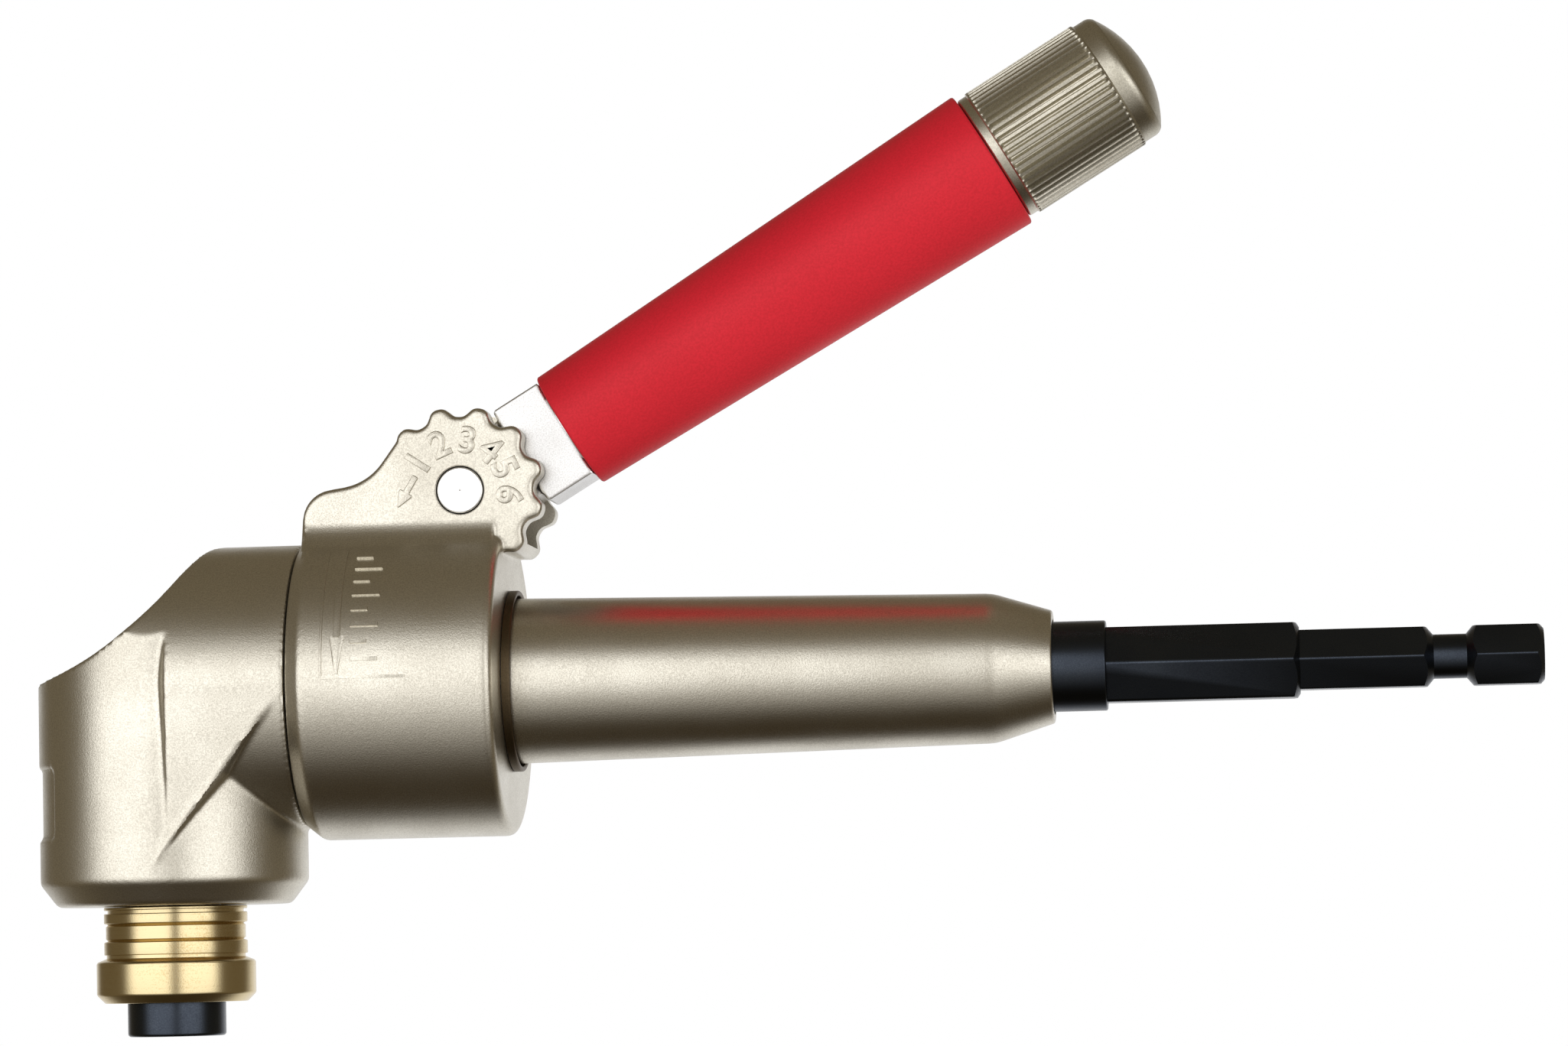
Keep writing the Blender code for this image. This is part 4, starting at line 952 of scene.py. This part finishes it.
    def build(self) -> list[Object]:
        """Model spindle and sleeve, and take the spring over.

        Returns:
            The three pieces, in place.
        """
        spindle, sleeve = self.spindle(), self.sleeve()
        finish_piece(spindle, BLACK_OXIDE, "output", ["output_spindle"])
        finish_piece(sleeve, BRASS, "sleeve", ["release_sleeve"])
        return [spindle, sleeve, self.spring()]


@dataclass
class SwivelCollar:
    """The turning collar with its two scalloped ears, the pin through them and the raised marks."""

    layout: Layout
    start: float = 15.14 * MM
    end: float = 37.4 * MM
    radius: float = 16.72 * MM
    bore: float = 13.184 * MM
    stop: float = 35.9 * MM
    mouth: float = 9.25 * MM
    shoulder: tuple[float, float] = (1.6 * MM, 1.3 * MM)
    end_round: float = 0.9 * MM
    ear_face: float = 6.95 * MM            # from the middle plane
    ear_round: float = 0.5 * MM
    slot_half: float = 4.05 * MM
    slot_start: float = 22.6 * MM
    slot_floor: float = 14.584 * MM
    lobe_radius: float = 9.1 * MM
    lobe_depth: float = 1.15 * MM
    lobe_pitch: float = math.radians(30)
    lobe_first: float = math.radians(141)
    lobe_last: float = math.radians(-52)
    tab_height: float = 4.76 * MM
    tab_fall: float = 1.05 * MM            # the tab's top is this much lower at its front
    tab_lean: float = 0.6 * MM
    tab_round: float = 3.4 * MM
    tab_slope: float = math.radians(54)    # from the tab up to the first scallop
    fillet: float = 4.5 * MM
    pin_radius: float = 2.5 * MM
    pin_hole: float = 2.62 * MM
    pin_edge: float = 0.1 * MM             # chamfer of the hole
    window: tuple[float, float] = (28.8 * MM, 35.6 * MM)
    window_half: float = 3.7 * MM
    mark_height: float = 0.2 * MM
    digit_size: float = 3.9 * MM
    digit_ring: float = 5.3 * MM           # middle of the digits from the pin
    digit_turns: tuple[int, ...] = (146, 113, 80, 51, 25, -7)   # degrees round the pin
    digit_bevel: float = 0.14 * MM

    def ear_outline(self) -> list[Vector]:
        """Side outline of the ears: the tab, its S curve, the scallops and the foot inside the collar."""
        pin = self.layout.pin_from_gears
        mean, swing = self.lobe_radius - self.lobe_depth / 2, self.lobe_depth / 2
        steps = 120
        lobes = []
        for step in range(steps + 1):
            angle = self.lobe_first + (self.lobe_last - self.lobe_first) * step / steps
            phase = (angle - self.lobe_pitch / 2) * 2 * math.pi / self.lobe_pitch
            radius = mean + swing * math.cos(phase - 0.25 * math.sin(2 * phase))
            lobes.append(Vector((pin.x, pin.z)) + Matrix.Rotation(angle, 2) @ Vector((radius, 0)))
        top = self.radius + self.tab_height
        start = self.start + 0.3 * MM
        rise = lobes[0].y - top
        bend = lobes[0].x - rise / math.tan(self.tab_slope)
        tab = Bench.rounded([(start, self.bore), (start + self.tab_lean, top - self.tab_fall, self.tab_round),
                             (bend, top, 1.15 * rise / math.sin(self.tab_slope)), lobes[0]])
        outline = tab[:-1] + lobes
        outline += [Vector((self.end - self.end_round, lobes[-1].y)), Vector((self.end - self.end_round, self.bore))]
        return outline

    def saddle(self) -> Object:
        """Fillets that blend the ears' sides into the round collar."""
        reach = self.ear_face + self.fillet
        height = math.sqrt((self.radius + self.fillet) ** 2 - reach ** 2)
        last = math.pi + math.atan2(height, reach)
        steps = 16
        side = []
        for step in range(steps + 1):
            point = Matrix.Rotation(math.pi + (last - math.pi) * step / steps, 2) @ Vector((self.fillet + OVERLAP, 0))
            side.append(Vector((-height - point.y, reach + point.x)))
        side.append(Vector((-self.bore, side[-1].y)))
        outline = side + [Vector((point.x, -point.y)) for point in reversed(side)]
        blend = Bench.plate("saddle", outline, self.start + 0.9 * MM, self.end - 0.9 * MM)
        return Bench.place(blend, Along.DRIVE)

    def body(self) -> Object:
        """Model the collar with its ears.

        Returns:
            The casting, drawn about the gear centre.
        """
        along, inwards = self.shoulder
        collar = Bench.place(Bench.rod("collar", [
            (self.start, self.radius - inwards), (self.start + along, self.radius, MM),
            (self.end, self.radius, self.end_round)]), Along.DRIVE)
        ears = Bench.plate("ears", self.ear_outline(), -self.ear_face, self.ear_face, self.ear_round)
        Bench.combine(collar, Bench.place(ears, Along.SIDE), Cut.JOIN)
        Bench.combine(collar, self.saddle(), Cut.JOIN)
        Bench.skin(collar, SKIN, 3)
        bore = Bench.rod("bore", [(self.start - MM, self.bore), (self.stop, self.bore), (self.stop, self.mouth),
                                  (self.end + MM, self.mouth)])
        tool = Bench.place(bore, Along.DRIVE)
        pin = self.layout.pin_from_gears
        clear = pin.z + 2 * self.lobe_radius
        slot = Bench.rounded([(self.slot_start, self.slot_floor, MM), (pin.x + 20 * MM, self.slot_floor),
                              (pin.x + 20 * MM, clear), (self.slot_start, clear)])
        slot_tool = Bench.plate("slot", slot, -self.slot_half, self.slot_half)
        Bench.combine(tool, Bench.place(slot_tool, Along.SIDE), Cut.JOIN)
        deep, wide = self.ear_face - self.pin_edge, self.pin_hole + MM + self.pin_edge
        hole = Bench.rod("pin_hole", [(-self.ear_face - MM, wide), (-deep, self.pin_hole), (deep, self.pin_hole),
                                      (self.ear_face + MM, wide)], 96)
        Bench.combine(tool, Bench.place(hole, Along.SIDE, Matrix.Translation(pin)), Cut.JOIN)
        first, last = self.window
        opening = [Vector((first, -self.window_half)), Vector((last, -self.window_half)),
                   Vector((last, self.window_half)), Vector((first, self.window_half))]
        Bench.combine(tool, Bench.plate("window", opening, 11 * MM, self.slot_floor + MM), Cut.JOIN)
        Bench.combine(collar, tool, Cut.TAKE)
        Bench.shade(collar)
        return collar

    def digits(self) -> list[Object]:
        """Plain numbers round the pin on the near ear, like those of a dial."""
        made = []
        middle = self.layout.pin_from_gears
        for number, turn in enumerate(self.digit_turns, 1):
            Bench.clear()
            bpy.ops.object.text_add()
            text = bpy.context.object
            settings = {"body": str(number), "size": self.digit_size, "align_x": "CENTER", "align_y": "CENTER",
                        "bevel_depth": self.digit_bevel, "bevel_resolution": 1,
                        "extrude": self.mark_height - self.digit_bevel, "offset": 0.02 * MM}
            for option, value in settings.items():
                setattr(text.data, option, value)
            bpy.ops.object.convert(target="MESH")
            text = bpy.context.object
            angle = math.radians(turn)
            spot = Matrix.Translation((self.digit_ring * math.cos(angle), self.digit_ring * math.sin(angle),
                                       self.ear_face))
            text.matrix_world = spot @ Matrix.Rotation(angle - math.pi / 2, 4, "Z")
            Bench.place(text)
            Bench.heal(text)
            made.append(Bench.place(text, Along.SIDE, Matrix.Translation(middle)))
        return made

    def ear_arrow(self) -> Object:
        """Raised arrow beside the pin that shows which way the lever locks."""
        half, head, shaft, tip = 0.33 * MM, 0.85 * MM, 2.0 * MM, 2.0 * MM
        edge, barb = 0.1 * MM, 0.15 * MM
        outline = Bench.rounded([(-shaft, -half, edge), (0, -half, edge), (0, -head, barb), (tip, 0, edge),
                                 (0, head, barb), (0, half, edge), (-shaft, half, edge)])
        arrow = Bench.plate("arrow", outline, self.ear_face - self.mark_height, self.ear_face + self.mark_height,
                            0.08 * MM)
        spot = Matrix.Translation((-5.8 * MM, -0.1 * MM, 0)) @ Matrix.Rotation(math.radians(-121), 4, "Z")
        Bench.place(arrow, at=spot)
        return Bench.place(arrow, Along.SIDE, Matrix.Translation(self.layout.pin_from_gears))

    def strip(self, stations: Sequence[tuple[float, float, float]]) -> Object:
        """Raised strip that follows the collar's round on its near side.

        Args:
            stations: (angle above the axis in degrees, place along the collar, width) in turn.

        Returns:
            The closed strip.
        """
        angle, along, width = stations[0]
        rise = (0.15 if angle < 12 else 0.22) * MM
        low, high = self.radius - rise, self.radius + rise
        Bench.clear()
        bpy.ops.mesh.primitive_plane_add(size=1)
        strip = bpy.context.object
        strip.scale = (width, high - low, 1)
        first = Matrix.Rotation(math.radians(-angle), 4, "X") @ Matrix.Translation((along, -(low + high) / 2, 0))
        Bench.place(strip, at=first)
        Bench.pick(strip, lambda co: co.yz.length > self.radius)
        bpy.ops.mesh.bevel(offset=0.1 * MM, segments=2, affect="VERTICES")
        bpy.ops.mesh.select_all(action="SELECT")
        for (old, before, was), (new, here, now) in zip(stations, stations[1:]):
            bpy.ops.mesh.extrude_region_move(TRANSFORM_OT_translate={"value": (here - before, 0, 0)})
            bpy.ops.transform.rotate(value=math.radians(new - old), orient_axis="X", center_override=(0, 0, 0))
            bpy.ops.transform.resize(value=(now / was, 1, 1), center_override=(here, 0, 0))
        Bench.heal(strip)
        return strip

    def collar_marks(self) -> list[Object]:
        """Raised frame line, a long arrow and a row of ticks on the near side of the collar."""
        left, right, foot = 19.2 * MM, 28.2 * MM, 0.4
        line, shaft, centre = 0.3 * MM, 20.9 * MM, (left + right) / 2
        strips = [[(foot + 6.2 * step, left, line) for step in range(10)],
                  [(foot + turn, centre, right - left) for turn in (-0.5, 0.5)],
                  [(15 + 4.2 * step, shaft, 0.75 * MM) for step in range(11)],
                  [(turn, shaft, width * MM) for turn, width in ((1.6, 0.35), (6, 0.75), (11, 1.15), (15.6, 1.6))]]
        ticks, tick_start, tick_half = 8, 22.3 * MM, 0.7
        for tick in range(ticks):
            angle = 7 + 45 * tick / (ticks - 1)
            width = (3.0, 1.8)[tick % 2] * MM
            strips.append([(angle + turn, tick_start + width / 2, width) for turn in (-tick_half, tick_half)])
        return [self.strip(stations) for stations in strips]

    def pin(self) -> Object:
        """Model the pin: its near face polished, with the lathe's centre mark."""
        face = self.ear_face
        pin = Bench.turn("pin", [(-face, 0), (-face, self.pin_radius, 0.2 * MM), (face, self.pin_radius, 0.2 * MM),
                                 (face, 0.12 * MM), (face - 0.1 * MM, 0)], 96)
        Bench.shade(pin)
        return Bench.place(pin, Along.SIDE, self.layout.at_gears @ Matrix.Translation(self.layout.pin_from_gears))

    def build(self) -> list[Object]:
        """Model collar, marks and pin.

        Returns:
            The three pieces, in place.
        """
        collar = Bench.place(self.body(), at=self.layout.at_gears)
        marks = Bench.merge("collar_marks", [*self.digits(), self.ear_arrow(), *self.collar_marks()])
        Bench.shade(marks, 40)
        Bench.place(marks, at=self.layout.at_gears)
        pin = self.pin()
        finish_piece(collar, NICKEL, "collar", ["swivel_collar"])
        finish_piece(marks, NICKEL, "collar")
        finish_piece(pin, PIN_STEEL, "collar", ["pivot_pin"])
        return [collar, marks, pin]


@dataclass
class LeverHandle:
    """The folding handle: steel lever with its cam, red grip tube and knurled cap."""

    layout: Layout
    flats: float = 7.5 * MM
    tang_half: float = 3.55 * MM
    root_radius: float = 6.7 * MM          # of the grip where it meets the root
    root_half: float = 5.75 * MM           # half height of the root
    root_start: float = 7.2 * MM           # sizes along the handle are from the pin
    root_end: float = 12.9 * MM
    edge_round: float = 0.35 * MM
    cam_radius: float = 5.0 * MM
    cam_rise: float = 0.2 * MM             # per radian
    cam_rest: float = math.radians(121)
    tang_height: float = 4.6 * MM
    hole_radius: float = 2.7 * MM
    spigot_radius: float = 5.3 * MM
    spigot_end: float = 30.0 * MM
    grip_start: float = 13.0 * MM
    grip_end: float = 67.4 * MM
    grip_end_radius: float = 8.05 * MM
    grip_bore: float = 5.6 * MM
    cap_start: float = 67.5 * MM
    cap_end: float = 86.7 * MM
    cap_radius: float = 7.55 * MM
    cap_neck: float = 1.2 * MM
    cap_dome: float = 2.4 * MM
    cap_ring: float = 2.1 * MM
    cap_spigot: float = 7.5 * MM
    ridges: int = 56
    ridge_points: int = 8
    ridge_depth: float = 0.48 * MM

    def cam_outline(self) -> list[Vector]:
        """Side outline of the tang, with a radius that shrinks as the handle is raised."""
        points = [Vector((self.root_start + MM, -self.tang_height))]
        steps = 60
        for step in range(steps + 1):
            angle = math.radians(75 + 150 * step / steps)
            radius = self.cam_radius - self.cam_rise * (angle - self.cam_rest)
            points.append(Matrix.Rotation(-angle, 2) @ Vector((radius, 0)))
        last = points[-1].length
        points += [Matrix.Rotation(math.radians(turn), 2) @ Vector((last, 0)) for turn in range(125, 89, -7)]
        return points + [Vector((self.root_start + MM, self.tang_height))]

    def lever(self) -> Object:
        """Model the lever: a flat-sided root, the cam's tang and the spigot for the grip."""
        wide = 2 * self.root_radius
        block = Bench.rounded([(self.root_start, -self.root_half, 0.4 * MM), (self.root_end, -self.root_half),
                               (self.root_end, self.root_half), (self.root_start, self.root_half, 0.4 * MM)])
        root = Bench.place(Bench.plate("lever", block, -self.flats / 2, self.flats / 2), Along.SIDE)
        tang = Bench.plate("tang", self.cam_outline(), -self.tang_half, self.tang_half)
        Bench.combine(root, Bench.place(tang, Along.SIDE), Cut.JOIN)
        Bench.skin(root, 0.14 * MM, 2)
        spigot = Bench.rod("spigot", [(self.root_end - OVERLAP, self.spigot_radius),
                                      (self.spigot_end, self.spigot_radius, MM)], 64)
        Bench.combine(root, Bench.place(spigot, Along.DRIVE), Cut.JOIN)
        hole = Bench.rod("lever_hole", [(-wide, self.hole_radius), (wide, self.hole_radius)], 64)
        Bench.combine(root, Bench.place(hole, Along.SIDE), Cut.TAKE)
        Bench.shade(root)
        return Bench.place(root, at=self.layout.at_pin)

    def grip(self) -> Object:
        """Model the tapered grip tube with its small bevelled ends."""
        grip = Bench.turn("grip", [
            (self.grip_start, self.grip_bore), (self.grip_start, self.root_radius, 0.3 * MM),
            (self.grip_end, self.grip_end_radius, 0.3 * MM), (self.grip_end, self.grip_bore)])
        Bench.shade(grip)
        return Bench.place(grip, Along.DRIVE, self.layout.at_pin)

    def cap(self) -> Object:
        """Model the cap: turned first, then knurled with straight grooves that run out at both ends."""
        start, end, radius = self.cap_start, self.cap_end, self.cap_radius
        rim = end - self.cap_dome
        knurl = (start + self.cap_neck, rim - self.cap_ring)
        ring = radius - 0.22 * MM
        seal = start - self.cap_spigot / 3
        cuts = [knurl[0] + share * (knurl[1] - knurl[0]) for share in (0.008, 0.02, 0.04, 0.955, 0.975, 0.99)]
        dome = (ring ** 2 + self.cap_dome ** 2) / (2 * self.cap_dome)
        spread = math.asin(ring / dome)
        crown = [(end - dome + dome * math.cos(spread * turn), dome * math.sin(spread * turn))
                 for turn in (0.94, 0.85, 0.75, 0.6, 0.45, 0.3, 0.15)]
        cap = Bench.turn("cap", [
            (start - self.cap_spigot, 0), (start - self.cap_spigot, self.spigot_radius, 0.3 * MM),
            (seal - 1.2 * MM, self.spigot_radius), (seal - 1.2 * MM, 4.0 * MM), (seal, 4.0 * MM),
            (seal, self.spigot_radius), (start, self.spigot_radius), (start, ring, 0.3 * MM),
            (knurl[0] - 0.15 * MM, ring), (knurl[0], radius), *[(cut, radius) for cut in cuts], (knurl[1], radius),
            (knurl[1] + 0.2 * MM, ring), (rim, ring, 1.2 * MM), *crown, (end, 0)],
            self.ridges * self.ridge_points)
        shares = {3: 0.55, 4: 1.0, 5: 1.0, 6: 0.55}
        ramps = dict(zip(cuts, (0.5, 0.85, 1.0, 1.0, 0.85, 0.5)))
        for level, ramp in ramps.items():
            for share in sorted(set(shares.values())):
                Bench.pick(cap, lambda co, level=level, share=share: abs(co.z - level) < WELD
                           and shares.get(self.ridge_index(co)) == share)
                shrink = 1 - self.ridge_depth * share * ramp / radius
                bpy.ops.transform.resize(value=(shrink, shrink, 1), center_override=(0, 0, level))
        Bench.clear()
        Bench.shade(cap, 45)
        return Bench.place(cap, Along.DRIVE, self.layout.at_pin)

    def ridge_index(self, co: Vector) -> int:
        """Number of a cap vertex within its ridge, counted round the axis."""
        count = self.ridges * self.ridge_points
        return round(math.atan2(co.y, co.x) / (2 * math.pi) * count) % self.ridge_points

    def build(self) -> list[Object]:
        """Model lever, grip and cap.

        Returns:
            The three pieces, in place.
        """
        lever, grip, cap = self.lever(), self.grip(), self.cap()
        finish_piece(lever, LEVER_STEEL, "lever", ["cam_lever"])
        finish_piece(grip, RED_COAT, "lever", ["grip_tube"])
        finish_piece(cap, CAP_NICKEL, "cap", ["end_cap"])
        return [lever, grip, cap]


class InnerWorks:
    """The CAD pieces that stay: gears, bushings, washers, clips, ball, shoe, dowel and seal."""

    finishes = {"bronze": BRONZE, "steel": GROUND_STEEL, "seal_rubber": SEAL_RUBBER, "cast_nickel": NICKEL,
                "black_oxide": BLACK_OXIDE, "brass": BRASS, "red_anodised": RED_COAT}

    def dress(self) -> None:
        """Give each CAD piece that is still shown the finish of its slot."""
        slots = {entry["node"]: entry["material_slot"] for entry in frame["record"]["subparts"]}
        for name, obj in frame["nodes"].items():
            finish = SPRING_STEEL if name.endswith("_clip") else self.finishes[slots[name]]
            material = finish.material()
            obj.data.materials.clear()
            obj.data.materials.append(material)
            log.info("%s: dressed as %s", name, material.name)


@dataclass
class Studio:
    """White surround, one broad soft front light, a pale floor and the camera."""

    layout: Layout
    front: float = 1.9                     # brightness of the front light
    above: str = "#6F6552"                 # colour of the unlit room overhead and at the sides
    below: str = "#3C3325"                 # and under the object
    floor_drop: float = 75 * MM            # below the gear centre
    floor_size: float = 2.6
    floor_colour: str = "#F2F1EE"
    floor_glow: float = 0.42               # as if lit from below like a light table
    camera_offset: tuple[float, float, float] = (122 * MM, -604 * MM, -29 * MM)
    yaw: float = 5.179                     # degrees, towards the head
    pitch: float = 4.275                   # degrees, upwards
    roll: float = -1.288                   # degrees
    focal_length: float = 129.24           # on a sensor 36 wide

    def world(self) -> None:
        """Light the room by direction: a soft box in front, white behind, dim between."""
        world = bpy.data.worlds.new("studio")
        bpy.context.scene.world = world
        world.use_nodes = True
        tree = world.node_tree
        tree.nodes.clear()
        way = add_node(tree, "TexCoord", {}).outputs["Generated"]
        split = add_node(tree, "SeparateXYZ", {0: way})
        x, y, z = (split.outputs[index] for index in range(3))
        ahead = add_node(tree, "Math", {0: y, 1: -1.0}, operation="MULTIPLY").outputs[0]
        sideways, upwards = (add_node(tree, "Math", {0: part, 1: ahead}, operation="ARCTAN2").outputs[0]
                             for part in (x, z))
        back = add_node(tree, "Math", {0: z, 1: -0.25, 2: y}, operation="MULTIPLY_ADD").outputs[0]
        deg = math.radians
        values = {}
        # Each rises smoothly from 0 at the first limit to 1 at the second
        for name, value, start, end in (
                ("foot", upwards, deg(-30), deg(4)), ("low_foot", upwards, deg(-70), deg(-5)),
                ("top", upwards, deg(38), deg(20)), ("left", sideways, deg(-72), deg(-52)),
                ("right", sideways, deg(82), deg(64)), ("gap_left", sideways, deg(-1), deg(8)),
                ("gap_right", sideways, deg(21), deg(12)), ("overhead", z, -1.0, -0.4), ("behind", back, 0.62, 0.98)):
            limits = {"Value": value, "From Min": start, "From Max": end}
            values[name] = add_node(tree, "MapRange", limits, interpolation_type="SMOOTHSTEP").outputs[0]
        # The soft box is the product of its edges, with a dim gap; each row is first times second plus third
        for name, *row in (("low_foot", "low_foot", 0.45, 0.0), ("box", "foot", 0.55, "low_foot"),
                           ("box", "box", "top", 0.0), ("box", "box", "left", 0.0), ("box", "box", "right", 0.0),
                           ("gap", "gap_left", "gap_right", 0.0), ("gap", "gap", -0.95, 1.0),
                           ("box", "box", "gap", 0.0)):
            terms = {index: values.get(term, term) for index, term in enumerate(row)}
            values[name] = add_node(tree, "Math", terms, operation="MULTIPLY_ADD").outputs[0]
        white, soft_box = (1, 1, 1, 1), (self.front, self.front, self.front, 1)
        camera_ray = add_node(tree, "LightPath", {}).outputs["Is Camera Ray"]
        light = linear(self.below)
        for share, colour in ((values["overhead"], linear(self.above)), (values["box"], soft_box),
                              (values["behind"], white), (camera_ray, white)):
            light = add_node(tree, "Mix", {0: share, 6: light, 7: colour}, data_type="RGBA").outputs[2]
        glow = add_node(tree, "Background", {"Color": light, "Strength": 1.0})
        add_node(tree, "OutputWorld", {"Surface": glow.outputs[0]})

    def floor(self) -> Object:
        """Lay the pale floor below the object."""
        Bench.clear()
        bpy.ops.mesh.primitive_plane_add(size=self.floor_size)
        floor = bpy.context.object
        floor.name = "floor"
        Bench.place(floor, at=self.layout.at_gears @ Matrix.Translation((0, 0, -self.floor_drop)))
        pale = bpy.data.materials.new("pale_floor")
        pale.use_nodes = True
        shader = pale.node_tree.nodes["Principled BSDF"]
        colour = linear(self.floor_colour)
        for name, value in (("Base Color", colour), ("Roughness", 0.8), ("Emission Color", colour),
                            ("Emission Strength", self.floor_glow)):
            shader.inputs[name].default_value = value
        floor.data.materials.append(pale)
        floor.visible_glossy = False
        return floor

    def camera(self) -> Object:
        """Set the camera where the photograph was taken from."""
        lens = bpy.data.cameras.new("camera")
        lens.lens = self.focal_length
        lens.sensor_width = 36
        lens.clip_start = 0.01
        camera = bpy.data.objects.new("camera", lens)
        bpy.context.scene.collection.objects.link(camera)
        turn = (Matrix.Rotation(math.radians(self.yaw), 4, "Z") @ Matrix.Rotation(math.radians(90 + self.pitch), 4, "X")
                @ Matrix.Rotation(math.radians(self.roll), 4, "Z"))
        camera.matrix_world = Matrix.Translation(self.layout.gear_centre + Vector(self.camera_offset)) @ turn
        bpy.context.scene.camera = camera
        return camera

    def build(self) -> None:
        """Set up light, floor and camera."""
        self.world()
        self.floor()
        self.camera()
        bpy.context.scene.view_settings.view_transform = "Standard"


def main() -> None:
    """Build every sub-assembly in order, then the studio."""
    logging.basicConfig(level=logging.INFO, format="%(message)s")
    layout = Layout.from_frame()
    for part in (ElbowHead(layout), Barrel(layout), DriveShank(layout), QuickRelease(layout),
                 SwivelCollar(layout), LeverHandle(layout)):
        log.info("building %s", type(part).__name__)
        part.build()
    InnerWorks().dress()
    Studio(layout).build()


if __name__ == "__main__":
    main()
